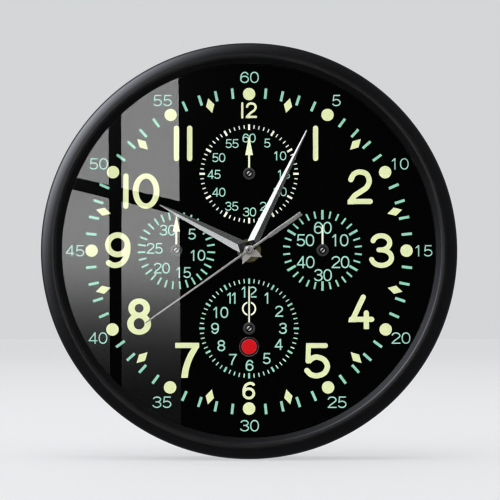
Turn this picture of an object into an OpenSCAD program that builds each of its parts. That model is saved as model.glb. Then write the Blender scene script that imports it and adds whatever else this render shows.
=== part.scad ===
// Wall clock with a four-register instrument dial.
// The back rim lies in the plane y = 0 and the dial faces -Y, with +Z up.
// The hand axis is the Y axis. Inside the modules the drawing plane is the
// dial seen from the front: x to the right, y up, z towards the viewer.

/* [Case] */
// Outside diameter of the case
case_d = 300; // [298:0.5:304]
// Height of the front ring's crest above the wall
case_depth = 43.5; // [43:0.1:46]
// Width of the convex front ring
ring_w = 12; // [11.5:0.1:12.5]
// Thickness of the case side wall
wall_t = 2.6; // [2:0.1:2.8]
// Number of screws that hold the back cover
cover_screws = 6; // [4:2:8]

/* [Glass and dial] */
// Thickness of the glass
glass_t = 2; // [1.5:0.1:2.2]
// Thickness of the dial plate
dial_t = 0.8; // [0.6:0.1:1]
// Distance of the upper and lower registers from the hand axis
register_v = 56; // [54:0.5:58]
// Distance of the left and right registers from the hand axis
register_h = 53; // [52:0.5:55]
// Radius of the red indicator disc
indicator_r = 5.6; // [5:0.1:6]

/* [Main hands] */
// Length of the minute hand from the axis to its tip
minute_len = 96.7; // [88:0.1:102]
// Length of the hour hand from the axis to its tip
hour_len = 73.1; // [60:0.1:80]
// Length of the second hand from the axis to its tip
second_len = 91.3; // [85:0.1:102]
// Length of the second hand's tail
second_tail = 46; // [40:0.5:52]
// Rest angle of the minute hand, clockwise from the top
minute_deg = 25.7; // [0:0.1:360]
// Rest angle of the hour hand, clockwise from the top
hour_deg = 297.1; // [0:0.1:360]
// Rest angle of the second hand, clockwise from the top
second_deg = 234.9; // [0:0.1:360]

/* [Movement] */
// Side of the square movement
mv_side = 56; // [55:0.5:57]
// Depth of the movement case
mv_t = 16.5; // [16.5:0.1:16.8]
// Diameter of the threaded centre bush
bush_d = 8; // [7.8:0.1:8.4]
// Width of the centre nut across its flats
nut_af = 15; // [13:0.5:16]

/* [Wall hanger] */
// Diameter of the keyhole's round entry
key_d = 9; // [8:0.5:10]
// Width of the keyhole's slot
slot_w = 4.5; // [4:0.25:5]
// Height of the keyhole's entry above the hand axis
key_z = 106; // [104:0.5:108]

/* [Hidden] */
$fn = 96;
case_r = case_d / 2;
lip_r = case_r - ring_w;             // inner edge of the front ring
sight_r = lip_r - 3.7;               // edge of the visible glass
seat_r = lip_r - 0.1;                // inner wall of the case
glass_r = seat_r - 0.3;
inner_wall_out = seat_r + 2.5;
wall_in = case_r - wall_t;
boss_r = (inner_wall_out + wall_in) / 2;
boss_phase = 30;

mv0 = 5;                             // rear face of the movement
mv1 = mv0 + mv_t;                    // its front face
dial0 = mv1 + 1;                     // back of the dial, in front of the rubber washer
dial1 = dial0 + dial_t;
glass0 = dial1 + 13.7;
glass1 = glass0 + glass_t;
cover0 = 3;
cover1 = 5;
wall_c = 1.2;                        // wall of the movement case
hx = mv_side / 2;
bush_r = bush_d / 2;
fit = 0.06;                          // radial clearance of every turning fit

// registers: centre of each small dial
reg_up = [0, register_v];
reg_right = [register_h + 0.3, 0.25];
reg_left = [-register_h + 0.2, 0.15];
reg_low = [0, -register_v - 0.4];
registers = [reg_up, reg_right, reg_left, reg_low];
pin_r = 0.8;
hub_r = 4.4;
indicator_drop = 13.3;

// battery bay
cell_r = 7.15;
cell_x = 24.6;
bay_z0 = -26.8;
bay_z1 = -11.4;
cell_z = -19;
cell_d = mv0 + 7.9;

// wheel train: distances and places of the axes
train_cd = 9;
motion_cd = 9.6;
fifth_at = [train_cd * cos(157), train_cd * sin(157)];
third_at = [train_cd * cos(25), train_cd * sin(25)];
motion_at = [0, motion_cd];
rotor_at = fifth_at + [9 * cos(130), 9 * sin(130)];

// ---- helpers -------------------------------------------------------------

// turns the drawing plane so that it becomes the front view of the clock
module front() rotate([90, 0, 0]) children();

// solid of a flat outline between two heights
module slab(z0, z1) translate([0, 0, z0]) linear_extrude(z1 - z0) children();

module disc(r, z0, z1, at = [0, 0]) translate([at[0], at[1], z0]) cylinder(r = r, h = z1 - z0);

module ring(r_out, r_in, z0, z1, at = [0, 0])
  translate([at[0], at[1], 0]) difference() {
    translate([0, 0, z0]) cylinder(r = r_out, h = z1 - z0);
    translate([0, 0, z0 - 1]) cylinder(r = r_in, h = z1 - z0 + 2);
  }

module rounded(w, h, r) {
  square([w - 2 * r, h], center = true);
  square([w, h - 2 * r], center = true);
  for (x = [-1, 1], y = [-1, 1]) translate([x * (w / 2 - r), y * (h / 2 - r)]) circle(r);
}

// turns a hand drawn pointing up to its angle, clockwise from the top
module at_angle(a) rotate([0, 0, -a]) children();

// spur gear outline: n teeth of module m, with one tooth centred on angle a
function gear_pts(n, m, a) = [for (i = [0 : n - 1]) let (c = a + 360 * i / n, q = 360 / n)
  each [for (p = [[m * (n / 2 - 1.05), -0.27], [m * (n / 2 + 0.72), -0.1],
                  [m * (n / 2 + 0.72), 0.1], [m * (n / 2 - 1.05), 0.27]])
    [p[0] * cos(c + p[1] * q), p[0] * sin(c + p[1] * q)]]];

module gear(n, m, a, z0, z1, at = [0, 0])
  translate([at[0], at[1], 0]) slab(z0, z1) polygon(gear_pts(n, m, a));

function bearing(p, q) = atan2(q[1] - p[1], q[0] - p[0]);

// phase of the second gear of a pair whose first gear has a tooth on the line of centres
function gap_phase(p, q, n) = bearing(p, q) + 180 + 180 / n;

// ---- case ----------------------------------------------------------------

crest_r = case_r - 9.5;
outer_arc = [for (a = [0 : 10 : 90]) [crest_r + 9.5 * cos(a), case_depth - 9.5 + 9.5 * sin(a)]];
lip_arc = [for (a = [0 : 30 : 90]) [lip_r + 0.6 - 0.6 * sin(a), case_depth - 0.9 + 0.6 * cos(a)]];
case_profile = concat(
  [[wall_in, 0], [case_r - 1.6, 0], [case_r - 1.1, 0.5], [case_r, 9]],
  outer_arc, lip_arc,
  [[sight_r, glass1 + 0.7], [sight_r, glass1], [seat_r, glass1],
   [seat_r, dial0 - 1], [inner_wall_out, dial0 - 1],
   [inner_wall_out, case_depth - 3.2], [case_r - 7, case_depth - 3],
   [wall_in, case_depth - 10]]);

module bezel_frame() color([0.05, 0.05, 0.055]) front() {
  rotate_extrude($fn = 180) polygon(case_profile);
  for (i = [0 : cover_screws - 1]) rotate([0, 0, boss_phase + 360 * i / cover_screws])
    ring(3.7, 1.25, cover1, case_depth - 6, [boss_r, 0]);
}

module glass_lens() color([0.8, 0.85, 0.87, 0.35]) front()
  rotate_extrude($fn = 180) polygon([[0, glass0], [glass_r - 0.4, glass0], [glass_r, glass0 + 0.4],
    [glass_r, glass1 - 0.4], [glass_r - 0.4, glass1], [0, glass1]]);

module lens_gasket() color([0.03, 0.03, 0.03]) front() ring(glass_r, sight_r + 1.2, glass0 - 0.8, glass0, $fn = 180);

module spacer_ring() color([0.04, 0.04, 0.04]) front() {
  ring(glass_r, glass_r - 1.6, dial1, glass0 - 0.8, $fn = 180);
  ring(glass_r, sight_r + 1, dial1, dial1 + 1.2, $fn = 180);
}

module dial_plate() color([0.02, 0.02, 0.022]) front() difference() {
  disc(glass_r, dial0, dial1, $fn = 180);
  disc(bush_r + 0.1, dial0 - 1, dial1 + 1);
  for (p = registers) disc(pin_r, dial0 - 1, dial1 + 1, p);
  disc(2, dial0 - 1, dial1 + 1, reg_low - [0, indicator_drop]);
}

module indicator_disc() color([0.8, 0.08, 0.1]) front() translate(concat(reg_low - [0, indicator_drop], [0])) {
  rotate_extrude() polygon([[0, dial1], [indicator_r, dial1], [indicator_r, dial1 + 0.35],
    [indicator_r - 0.4, dial1 + 0.55], [indicator_r - 2.2, dial1 + 0.65], [0, dial1 + 0.7]]);
  disc(2, dial0 - 0.6, dial1);
}

module indicator_collar() color([0.12, 0.12, 0.13]) front() translate(concat(reg_low - [0, indicator_drop], [0]))
  rotate_extrude() polygon([[indicator_r, dial1], [indicator_r + 1.65, dial1], [indicator_r + 1.65, dial1 + 0.35],
    [indicator_r + 1.5, dial1 + 0.6], [indicator_r + 1.3, dial1 + 0.6], [indicator_r + 0.9, dial1 + 0.25],
    [indicator_r, dial1 + 0.25]]);

// four screws with a foot behind the dial, a shoulder on it and a slotted head over the hub
module register_pins() color([0.6, 0.6, 0.58]) front()
  for (p = registers) let (t = dial1 + (p == reg_low ? 3.05 : 2.75)) translate([p[0], p[1], 0]) difference() {
    union() {
      disc(pin_r, dial0 - 0.5, t + 0.5);
      disc(2.2, dial0 - 0.5, dial0);
      disc(1.5, dial1, dial1 + 0.5);
      rotate_extrude() polygon([[0, t], [1.65, t], [1.65, t + 0.4], [1.4, t + 0.65], [0, t + 0.65]]);
    }
    rotate([0, 0, 45]) translate([-2, -0.22, t + 0.3]) cube([4, 0.44, 2]);
  }

// ---- back ----------------------------------------------------------------

module back_cover() color([0.06, 0.06, 0.065]) front() difference() {
  union() {
    disc(wall_in - 0.4, cover0, cover1, $fn = 180);
    slab(cover1, 12) difference() { rounded(mv_side + 7, mv_side + 7, 6); rounded(mv_side + 3, mv_side + 3, 4.5); }
    for (x = [-15, 15]) disc(3.4, cover1, 9, [x, key_z + 6]);
  }
  slab(cover0 - 1, 30) rounded(mv_side + 3, mv_side + 3, 4.5);
  translate([0, key_z + 4.5]) slab(cover0 - 1, cover1 + 1) rounded(14, 26, 4);
  for (x = [-15, 15]) disc(1.1, cover0 - 1, 8, [x, key_z + 6]);
  for (i = [0 : cover_screws - 1]) rotate([0, 0, boss_phase + 360 * i / cover_screws])
    disc(1.7, cover0 - 1, cover1 + 1, [boss_r, 0]);
}

// stands on the back cover and presses the dial and glass stack against the front lip
module dial_clamp_ring() color([0.05, 0.05, 0.055]) front() {
  ring(seat_r - 3.4, seat_r - 5.6, cover1, dial0, $fn = 180);
  ring(seat_r - 1.6, seat_r - 7.4, cover1, cover1 + 1.6, $fn = 180);
}

// pan-head screw drawn with its head towards the wall, seated at height z
module pan_screw(head_r, head_h, shank_r, len, z) difference() {
  union() {
    rotate_extrude($fn = 48) polygon([[0, z - head_h], [head_r * 0.55, z - head_h], [head_r * 0.86, z - head_h * 0.72],
      [head_r, z - head_h * 0.3], [head_r, z], [0, z]]);
    disc(shank_r, z, z + len, $fn = 48);
  }
  for (a = [0, 90]) rotate([0, 0, a]) translate([-head_r * 0.6, -0.3, z - head_h - 1]) cube([head_r * 1.2, 0.6, 1 + head_h * 0.6]);
}

module back_cover_screws() color([0.55, 0.55, 0.57]) front() for (i = [0 : cover_screws - 1])
  rotate([0, 0, boss_phase + 360 * i / cover_screws]) translate([boss_r, 0, 0]) rotate([0, 0, 20 + 37 * i]) pan_screw(2.8, 1.8, 1.25, 10, cover0);

module hanger_plate() color([0.6, 0.6, 0.62]) front() slab(cover0 - 1.2, cover0) difference() {
  translate([0, key_z + 4.5]) rounded(40, 30, 3);
  translate([0, key_z]) circle(d = key_d);
  translate([-slot_w / 2, key_z]) square([slot_w, 12]);
  translate([0, key_z + 12]) circle(d = slot_w);
  for (x = [-15, 15]) translate([x, key_z + 6]) circle(1.3);
}

module hanger_screws() color([0.55, 0.55, 0.57]) front() for (x = [-15, 15])
  translate([x, key_z + 6, 0]) rotate([0, 0, 15 + x]) pan_screw(2.3, 1.3, 1.1, 5.5, cover0 - 1.2);

// ---- movement case -------------------------------------------------------

module mv_outline(inset) rounded(mv_side - 2 * inset, mv_side - 2 * inset, max(0.5, 4 - inset));

// bearing boss for a pivot at a point
module boss(p, z0, z1, r_out = 1.5) disc(r_out, z0, z1, p);

module movement_front_case() color([0.09, 0.09, 0.1]) front() difference() {
  union() {
    slab(mv1 - wall_c, mv1) mv_outline(0);
    slab(mv0 + 9, mv1) difference() { mv_outline(0); mv_outline(wall_c); }
    disc(bush_r + 1.6, mv1 - 4, mv1);
    disc(bush_r, mv1 - 4, dial1 + 4);
    for (p = [fifth_at, third_at, motion_at, rotor_at]) boss(p, mv1 - 4, mv1 - wall_c + 0.1);
  }
  disc(2.5 + fit, mv0, dial1 + 10);
  for (p = [fifth_at, third_at, rotor_at]) disc(0.5 + fit, mv1 - 5, mv1 - wall_c, p);
  disc(0.6 + fit, mv1 - 5, mv1 - wall_c, motion_at);
}

module movement_rear_case() color([0.09, 0.09, 0.1]) front() difference() {
  union() {
    slab(mv0, mv0 + wall_c) mv_outline(0);
    slab(mv0, mv0 + 9) difference() { mv_outline(0); mv_outline(wall_c); }
    translate([-25.4, bay_z1, mv0]) cube([50.8, 0.8, mv_t - wall_c]);
    for (p = [fifth_at, third_at, rotor_at, [0, 0]]) boss(p, mv0, mv0 + 2, 1.2);
    for (p = [[10, 24.6], [23.5, 15]]) disc(1.4, mv0, 12.5, p);
  }
  translate([-hx + wall_c, bay_z0, mv0 - 1]) cube([mv_side - 2 * wall_c, bay_z1 - bay_z0, 3 * wall_c]);
  for (p = [fifth_at, third_at, rotor_at, [0, 0]]) disc(0.5 + fit, mv0 + 0.6, mv0 + 3, p);
  disc(0.9 + fit, mv0 - 1, mv0 + 4, motion_at);
}

module rubber_washer() color([0.03, 0.03, 0.03]) front() ring(11, bush_r, mv1, dial0);
module nut_washer() color([0.5, 0.42, 0.2]) front() ring(6.9, bush_r, dial1, dial1 + 0.5);

module centre_nut() color([0.4, 0.38, 0.2]) front() difference() {
  slab(dial1 + 0.5, dial1 + 3.3) circle(d = nut_af / cos(30), $fn = 6);
  disc(bush_r, dial1, dial1 + 5);
}

// ---- electronics ---------------------------------------------------------

board0 = 12.5;
module circuit_board() color([0.1, 0.35, 0.2]) front() slab(board0, board0 + 1)
  polygon([[8.6, 13.4], [12, 11], [25.7, 11], [25.7, 26], [4, 26], [4, 21]]);

module quartz_crystal() color([0.7, 0.7, 0.72]) front() {
  translate([9.4, 23, board0 + 2.05]) rotate([0, 90, 0]) cylinder(r = 1.05, h = 6.2);
  for (y = [22.6, 23.4]) translate([15.6, y - 0.15, board0 + 1.9]) cube([2.2, 0.3, 0.3]);
  for (y = [22.6, 23.4]) translate([17.5, y - 0.15, board0 + 1]) cube([0.3, 0.3, 1.2]);
}

module timing_chip() color([0.03, 0.03, 0.03]) front() translate([20.4, 17.5, 0])
  rotate_extrude() polygon([[0, board0 + 1], [2.6, board0 + 1], [2.3, board0 + 1.5], [1.4, board0 + 1.9], [0, board0 + 2]]);

// the motor: the core passes through the bobbin and lies on the stator's two legs
coil_z = 21.8;
coil_d = 13.5;
module coil_core() color([0.6, 0.6, 0.62]) front()
  translate([-23.6, coil_z - 1, 13]) cube([25.2, 2, 1]);

module coil_bobbin() color([0.75, 0.75, 0.7]) front() difference() {
  union() {
    translate([-19.2, coil_z, coil_d]) rotate([0, 90, 0]) cylinder(r = 1.8, h = 17);
    for (x = [-19.2, -3.2]) translate([x, coil_z, coil_d]) rotate([0, 90, 0]) cylinder(r = 3.9, h = 1);
  }
  translate([-30, coil_z - 1, 13]) cube([40, 2, 1]);
}

module coil_winding() color([0.72, 0.35, 0.15]) front() translate([-18.2, coil_z, coil_d]) rotate([0, 90, 0])
  difference() { cylinder(r = 3.3, h = 15); translate([0, 0, -1]) cylinder(r = 1.8, h = 17); }

module stator() color([0.62, 0.62, 0.64]) front() difference() {
  slab(12.2, 13) polygon([[rotor_at[0] - 6, 6.6], [rotor_at[0] + 6.4, 6.6], [rotor_at[0] + 6.4, 12.4], [1.6, 15.6],
    [1.6, 24], [-1.8, 24], [-1.8, 17.2], [rotor_at[0] + 3, 14.7], [rotor_at[0] - 3, 14.7], [-19.8, 17.2], [-19.8, 24], [-23.6, 24], [-23.6, 13]]);
  disc(2.7, 11, 14, rotor_at);
}

// strip contacts: each stands at one end of the bay and runs to the board
module battery_positive_contact() color([0.75, 0.72, 0.6]) front() {
  translate([25.7, -24, mv0 + 4]) cube([0.5, 10, 8]);
  translate([25.7, -24, 11.4]) cube([0.5, 37, 2]);
}

module battery_negative_contact() color([0.75, 0.72, 0.6]) front() {
  translate([-26.2, -24, mv0 + 4]) cube([0.5, 10, 8]);
  slab(11.3, 13.3) polygon([[-26.2, -24], [-26.2, 24.1], [-24.1, 26.4], [5.4, 26.4], [5.4, 26], [-23.9, 26],
    [-25.7, 24], [-25.7, -24]]);
  translate([-25.7, cell_z, cell_d]) rotate([0, 90, 0]) cylinder(r1 = 4, r2 = 2.4, h = 0.9);
}

module battery() color([0.2, 0.2, 0.22]) front() translate([0, cell_z, cell_d]) rotate([0, 90, 0])
  rotate_extrude() polygon([[0, -cell_x], [cell_r - 1.2, -cell_x], [cell_r - 1, -cell_x + 0.3], [cell_r, -cell_x + 0.5],
    [cell_r, cell_x - 0.6], [cell_r - 0.8, cell_x - 0.2], [2.7, cell_x - 0.2], [2.7, cell_x + 0.8], [2.4, cell_x + 1], [0, cell_x + 1]]);

// ---- wheel train ---------------------------------------------------------

m_step = 0.25;                       // rotor pinion 12, fifth wheel 60
m_sec = 2 * train_cd / 70;           // fifth pinion 10, seconds wheel 60
m_third = 2 * train_cd / 85;         // seconds pinion 10, third wheel 75
m_centre = 2 * train_cd / 90;        // third pinion 10, centre wheel 80
m_cannon = 2 * motion_cd / 48;       // cannon pinion 12, minute wheel 36
m_hour = 2 * motion_cd / 50;         // minute pinion 10, hour wheel 40
axis0 = [0, 0];

module rotor_magnet() color([0.3, 0.3, 0.32]) front() ring(2.2, 0.5, 11.6, 14.2, rotor_at);

module rotor_pinion() color([0.85, 0.85, 0.8]) front() {
  gear(12, m_step, bearing(rotor_at, fifth_at), 8.8, 10.4, rotor_at);
  disc(0.5, mv0 + 0.7, mv1 - wall_c - 0.1, rotor_at);
}

module fifth_wheel() color([0.9, 0.9, 0.85]) front() {
  gear(60, m_step, gap_phase(rotor_at, fifth_at, 60), 9.2, 10, fifth_at);
  gear(10, m_sec, bearing(fifth_at, axis0), 7.2, 9.2, fifth_at);
  disc(0.5, mv0 + 0.7, mv1 - wall_c - 0.1, fifth_at);
}

module seconds_wheel() color([0.9, 0.9, 0.85]) front() difference() {
  union() {
    gear(60, m_sec, gap_phase(fifth_at, axis0, 60), 7.6, 8.4);
    gear(10, m_third, bearing(axis0, third_at), 8.4, 10.1);
  }
  disc(0.5, 5, 12);
}

module seconds_arbor() color([0.7, 0.7, 0.72]) front() disc(0.5, mv0 + 0.7, dial1 + 11.2, $fn = 48);

module third_wheel() color([0.9, 0.9, 0.85]) front() {
  gear(75, m_third, gap_phase(axis0, third_at, 75), 9.2, 10, third_at);
  gear(10, m_centre, bearing(third_at, axis0), 10, 12, third_at);
  disc(0.5, mv0 + 0.7, mv1 - wall_c - 0.1, third_at);
}

// driven by the third pinion, it turns on the cannon pinion's neck through a friction fit
module centre_wheel() color([0.8, 0.65, 0.3]) front() difference() {
  gear(80, m_centre, gap_phase(third_at, axis0, 80), 10.9, 11.7);
  disc(1.25 + fit, 10, 13);
}

module cannon_pinion() color([0.8, 0.65, 0.3]) front() difference() {
  union() {
    disc(1.25, 10.5, 12.6);
    disc(1.75, 12.2, dial1 + 8.6);
    gear(12, m_cannon, bearing(axis0, motion_at), 13.3, 15.3);
  }
  disc(0.5 + fit, 9, dial1 + 12);
}

module minute_wheel() color([0.9, 0.9, 0.85]) front() {
  gear(36, m_cannon, gap_phase(axis0, motion_at, 36), 13.8, 14.8, motion_at);
  gear(10, m_hour, bearing(motion_at, axis0), 14.8, 17.2, motion_at);
  disc(0.6, mv0 - 3.2, mv1 - wall_c - 0.1, motion_at);
}

knob_r = 6;
module setting_knob() color([0.12, 0.12, 0.12]) front() translate([motion_at[0], motion_at[1], 0]) difference() {
  union() {
    slab(mv0 - 3.6, mv0 - 0.6) polygon([for (i = [0 : 47]) let (r = i % 2 == 0 ? knob_r : knob_r - 0.45)
      [r * cos(7.5 * i), r * sin(7.5 * i)]]);
    disc(0.9, mv0 - 0.6, mv0 + 2.2);
  }
  disc(0.6, mv0 - 3.2, mv0 + 4);
  ring(4.4, 1.8, mv0 - 4, mv0 - 2.8);
}

module hour_wheel() color([0.9, 0.9, 0.85]) front() difference() {
  union() {
    gear(40, m_hour, gap_phase(motion_at, axis0, 40), 15.9, 16.9);
    disc(2.5, 15.6, dial1 + 5.8);
  }
  disc(1.75 + fit, 14, dial1 + 8);
}

// ---- main hands ----------------------------------------------------------

h0 = dial1 + 4.8;                    // hour hand
m0 = dial1 + 7.6;                    // minute hand
s0 = dial1 + 10.6;                   // second hand

function mirrored(pts) = concat(pts, [for (i = [len(pts) - 1 : -1 : 0]) if (pts[i][0] != 0) [-pts[i][0], pts[i][1]]]);

module hour_hand() color([0.75, 0.75, 0.76]) front() at_angle(hour_deg) difference() {
  union() {
    slab(h0, h0 + 1) polygon(mirrored([[0, hour_len], [0.3, hour_len - 0.4], [1.5, hour_len - 11.6], [4.4, 9.6], [4.4, 5], [4.1, 1], [3.6, -2.5], [2.2, -6], [0, -10.7]]));
    disc(3.6, h0 - 0.4, h0 + 1);
  }
  disc(2.5, h0 - 2, h0 + 3);
}

module minute_hand() color([0.85, 0.85, 0.86]) front() at_angle(minute_deg) difference() {
  union() {
    slab(m0, m0 + 1) polygon(mirrored([[0, minute_len], [0.5, minute_len - 0.4], [3.9, 12.5], [3.8, 5.4], [3.6, 0], [2.9, -4.5], [2, -7], [0, -11.3]]));
    disc(3.4, m0 - 0.8, m0 + 1);
  }
  disc(1.75, m0 - 2, m0 + 3);
}

module second_hand() color([0.7, 0.69, 0.69]) front() at_angle(second_deg) difference() {
  union() {
    slab(s0, s0 + 0.5) polygon([[-0.9, -10], [-0.5, second_len - 1], [0, second_len], [0.5, second_len - 1], [0.9, -10],
      [0.95, -16.6], [1.6, -17.8], [1.6, -second_tail], [-1.6, -second_tail], [-1.6, -17.8], [-0.95, -16.6]]);
    disc(2.6, s0, s0 + 0.5);
  }
  disc(1, s0 - 1, s0 + 2);
}

// rivet that clamps the second hand and presses on the arbor
module second_hand_boss() color([0.72, 0.7, 0.7]) front() difference() {
  union() {
    disc(1.6, s0 - 1.6, s0);
    disc(1, s0 - 1, s0 + 1);
    rotate_extrude() polygon([[0, s0 + 0.5], [2.6, s0 + 0.5], [2.6, s0 + 0.75], [2.25, s0 + 1.1], [1.75, s0 + 1.1],
      [1.2, s0 + 0.8], [0, s0 + 0.8]]);
  }
  disc(0.5, s0 - 3, s0 + 3);
}

// ---- register hands ------------------------------------------------------

r0 = dial1 + 1.4;

// arrow hand with its pivot eye, pointing up
module arrow_hand(p, shaft_w, neck, head_w, tip, z = r0) translate([p[0], p[1], 0]) difference() {
  slab(z, z + 0.4) {
    polygon([[-shaft_w / 2, 0], [shaft_w / 2, 0], [shaft_w / 2, neck], [head_w / 2, neck], [0, tip], [-head_w / 2, neck], [-shaft_w / 2, neck]]);
    circle(3);
  }
  disc(pin_r + fit, z - 1, z + 2);
}

// needle that narrows to a blunt tip, pointing up
module needle_hand(p, w, tip, z = r0) translate([p[0], p[1], 0]) difference() {
  slab(z, z + 0.4) {
    polygon([[-w / 2, 0], [w / 2, 0], [w / 2, tip * 0.7], [w / 5, tip], [-w / 5, tip], [-w / 2, tip * 0.7]]);
    circle(3);
  }
  disc(pin_r + fit, z - 1, z + 2);
}

module hub_cap(p, z) color([0.2, 0.2, 0.2]) translate([p[0], p[1], 0]) difference() {
  rotate_extrude() polygon([[0, z], [hub_r, z], [hub_r, z + 0.5], [hub_r - 0.4, z + 0.8], [2.45, z + 0.9],
    [2.3, z + 0.4], [0, z + 0.4]]);
  disc(pin_r + fit, z - 1, z + 2);
}

module upper_register_hand() color([0.95, 0.92, 0.72]) front() arrow_hand(reg_up, 1.4, 13.5, 5.6, 28.1);
module upper_register_hub() front() hub_cap(reg_up, r0 + 0.4);
module right_register_hand() color([0.95, 0.92, 0.78]) front() needle_hand(reg_right, 1.4, 18.5);
module right_register_hub() front() hub_cap(reg_right, r0 + 0.4);
module left_register_hand() color([0.95, 0.92, 0.72]) front() arrow_hand(reg_left, 1.4, 13.6, 5.3, 25.4);
module left_register_hub() front() hub_cap(reg_left, r0 + 0.4);

module lower_register_ring_hand() color([0.95, 0.9, 0.6]) front() translate([reg_low[0], reg_low[1], 0]) difference() {
  slab(dial1 + 1, dial1 + 1.3) {
    circle(3);
    translate([-0.6, 0]) square([1.2, 9.8]);
    translate([0, 14.5]) circle(5.35);
  }
  disc(3.95, dial1, dial1 + 3, [0, 14.5]);
  disc(pin_r + fit, dial1, dial1 + 3);
}

module lower_register_needle() color([0.96, 0.94, 0.84]) front() needle_hand(reg_low, 1.05, 30.6, dial1 + 1.7);
module lower_register_hub() front() hub_cap(reg_low, dial1 + 2.1);

// ---- assembly ------------------------------------------------------------

bezel_frame();
glass_lens();
lens_gasket();
spacer_ring();
dial_plate();
indicator_disc();
indicator_collar();
register_pins();
back_cover();
dial_clamp_ring();
back_cover_screws();
hanger_plate();
hanger_screws();
movement_front_case();
movement_rear_case();
rubber_washer();
nut_washer();
centre_nut();
circuit_board();
quartz_crystal();
timing_chip();
coil_bobbin();
coil_winding();
coil_core();
stator();
battery_positive_contact();
battery_negative_contact();
battery();
rotor_magnet();
rotor_pinion();
fifth_wheel();
seconds_wheel();
seconds_arbor();
third_wheel();
centre_wheel();
cannon_pinion();
minute_wheel();
setting_knob();
hour_wheel();
hour_hand();
minute_hand();
second_hand();
second_hand_boss();
upper_register_hand();
upper_register_hub();
right_register_hand();
right_register_hub();
left_register_hand();
left_register_hub();
lower_register_ring_hand();
lower_register_needle();
lower_register_hub();
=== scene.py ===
"""Looks of the wall clock with a four-register instrument dial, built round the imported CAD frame.

Lengths in the helpers are millimetres in the clock's front view: x to the right, z up, and depth d
from the wall towards the viewer, so that a point (x, z, d) lies at (x, -d, z) in the shared frame.
"""

import math

import bmesh
import bpy
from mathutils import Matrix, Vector, geometry


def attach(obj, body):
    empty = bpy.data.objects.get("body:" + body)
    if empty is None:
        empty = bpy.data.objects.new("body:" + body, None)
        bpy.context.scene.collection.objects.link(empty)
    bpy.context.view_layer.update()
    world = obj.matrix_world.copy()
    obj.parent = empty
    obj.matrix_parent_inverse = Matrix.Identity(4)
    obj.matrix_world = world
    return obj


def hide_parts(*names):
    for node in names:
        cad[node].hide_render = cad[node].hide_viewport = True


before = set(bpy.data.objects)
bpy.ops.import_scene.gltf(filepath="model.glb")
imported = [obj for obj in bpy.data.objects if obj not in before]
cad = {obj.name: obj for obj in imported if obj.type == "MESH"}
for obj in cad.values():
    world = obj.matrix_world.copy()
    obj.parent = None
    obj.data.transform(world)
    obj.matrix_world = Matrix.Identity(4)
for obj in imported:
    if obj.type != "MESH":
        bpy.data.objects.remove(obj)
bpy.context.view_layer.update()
scene = bpy.context.scene
MM = 0.001


def P(x, z, d):
    return Vector((x * MM, -d * MM, z * MM))


# ---------------------------------------------------------------- materials


def _mix(value, share):
    return [min(1.0, max(0.0, v * share)) for v in value]


def material(name, color, rough, metal=0.0, spec=0.5, vary=0.12, rough_vary=0.06, patch=90.0,
             grain=0.0, grain_scale=5200.0, grain_mm=0.02, stretch=(1, 1, 1), coat=0.0, coat_rough=0.1,
             tint=None):
    """Principled material with uneven colour and gloss from noise, and a fine relief in the surface."""
    m = bpy.data.materials.new(name)
    m.use_nodes = True
    nt = m.node_tree
    nt.nodes.clear()
    out = nt.nodes.new("ShaderNodeOutputMaterial")
    bsdf = nt.nodes.new("ShaderNodeBsdfPrincipled")
    nt.links.new(bsdf.outputs["BSDF"], out.inputs["Surface"])
    bsdf.inputs["Metallic"].default_value = metal
    bsdf.inputs["Specular IOR Level"].default_value = spec
    bsdf.inputs["Coat Weight"].default_value = coat
    bsdf.inputs["Coat Roughness"].default_value = coat_rough
    coords = nt.nodes.new("ShaderNodeTexCoord")
    mapping = nt.nodes.new("ShaderNodeMapping")
    mapping.inputs["Scale"].default_value = stretch
    nt.links.new(coords.outputs["Object"], mapping.inputs["Vector"])

    broad = nt.nodes.new("ShaderNodeTexNoise")
    broad.inputs["Scale"].default_value = patch
    broad.inputs["Detail"].default_value = 5.0
    broad.inputs["Roughness"].default_value = 0.62
    nt.links.new(mapping.outputs["Vector"], broad.inputs["Vector"])

    ramp = nt.nodes.new("ShaderNodeValToRGB")
    ramp.color_ramp.elements[0].position = 0.28
    ramp.color_ramp.elements[1].position = 0.72
    ramp.color_ramp.elements[0].color = (*_mix(color, 1 - vary), 1)
    ramp.color_ramp.elements[1].color = (*_mix(tint or color, 1 + vary), 1)
    nt.links.new(broad.outputs["Fac"], ramp.inputs["Fac"])
    nt.links.new(ramp.outputs["Color"], bsdf.inputs["Base Color"])

    rr = nt.nodes.new("ShaderNodeMapRange")
    rr.inputs["From Min"].default_value = 0.25
    rr.inputs["From Max"].default_value = 0.75
    rr.inputs["To Min"].default_value = max(0.02, rough - rough_vary)
    rr.inputs["To Max"].default_value = min(1.0, rough + rough_vary)
    nt.links.new(broad.outputs["Fac"], rr.inputs["Value"])
    nt.links.new(rr.outputs["Result"], bsdf.inputs["Roughness"])

    if grain:
        fine = nt.nodes.new("ShaderNodeTexNoise")
        fine.inputs["Scale"].default_value = grain_scale
        fine.inputs["Detail"].default_value = 3.0
        nt.links.new(mapping.outputs["Vector"], fine.inputs["Vector"])
        bump = nt.nodes.new("ShaderNodeBump")
        bump.inputs["Strength"].default_value = grain
        bump.inputs["Distance"].default_value = grain_mm * MM
        nt.links.new(fine.outputs["Fac"], bump.inputs["Height"])
        nt.links.new(bump.outputs["Normal"], bsdf.inputs["Normal"])
    return m


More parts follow.
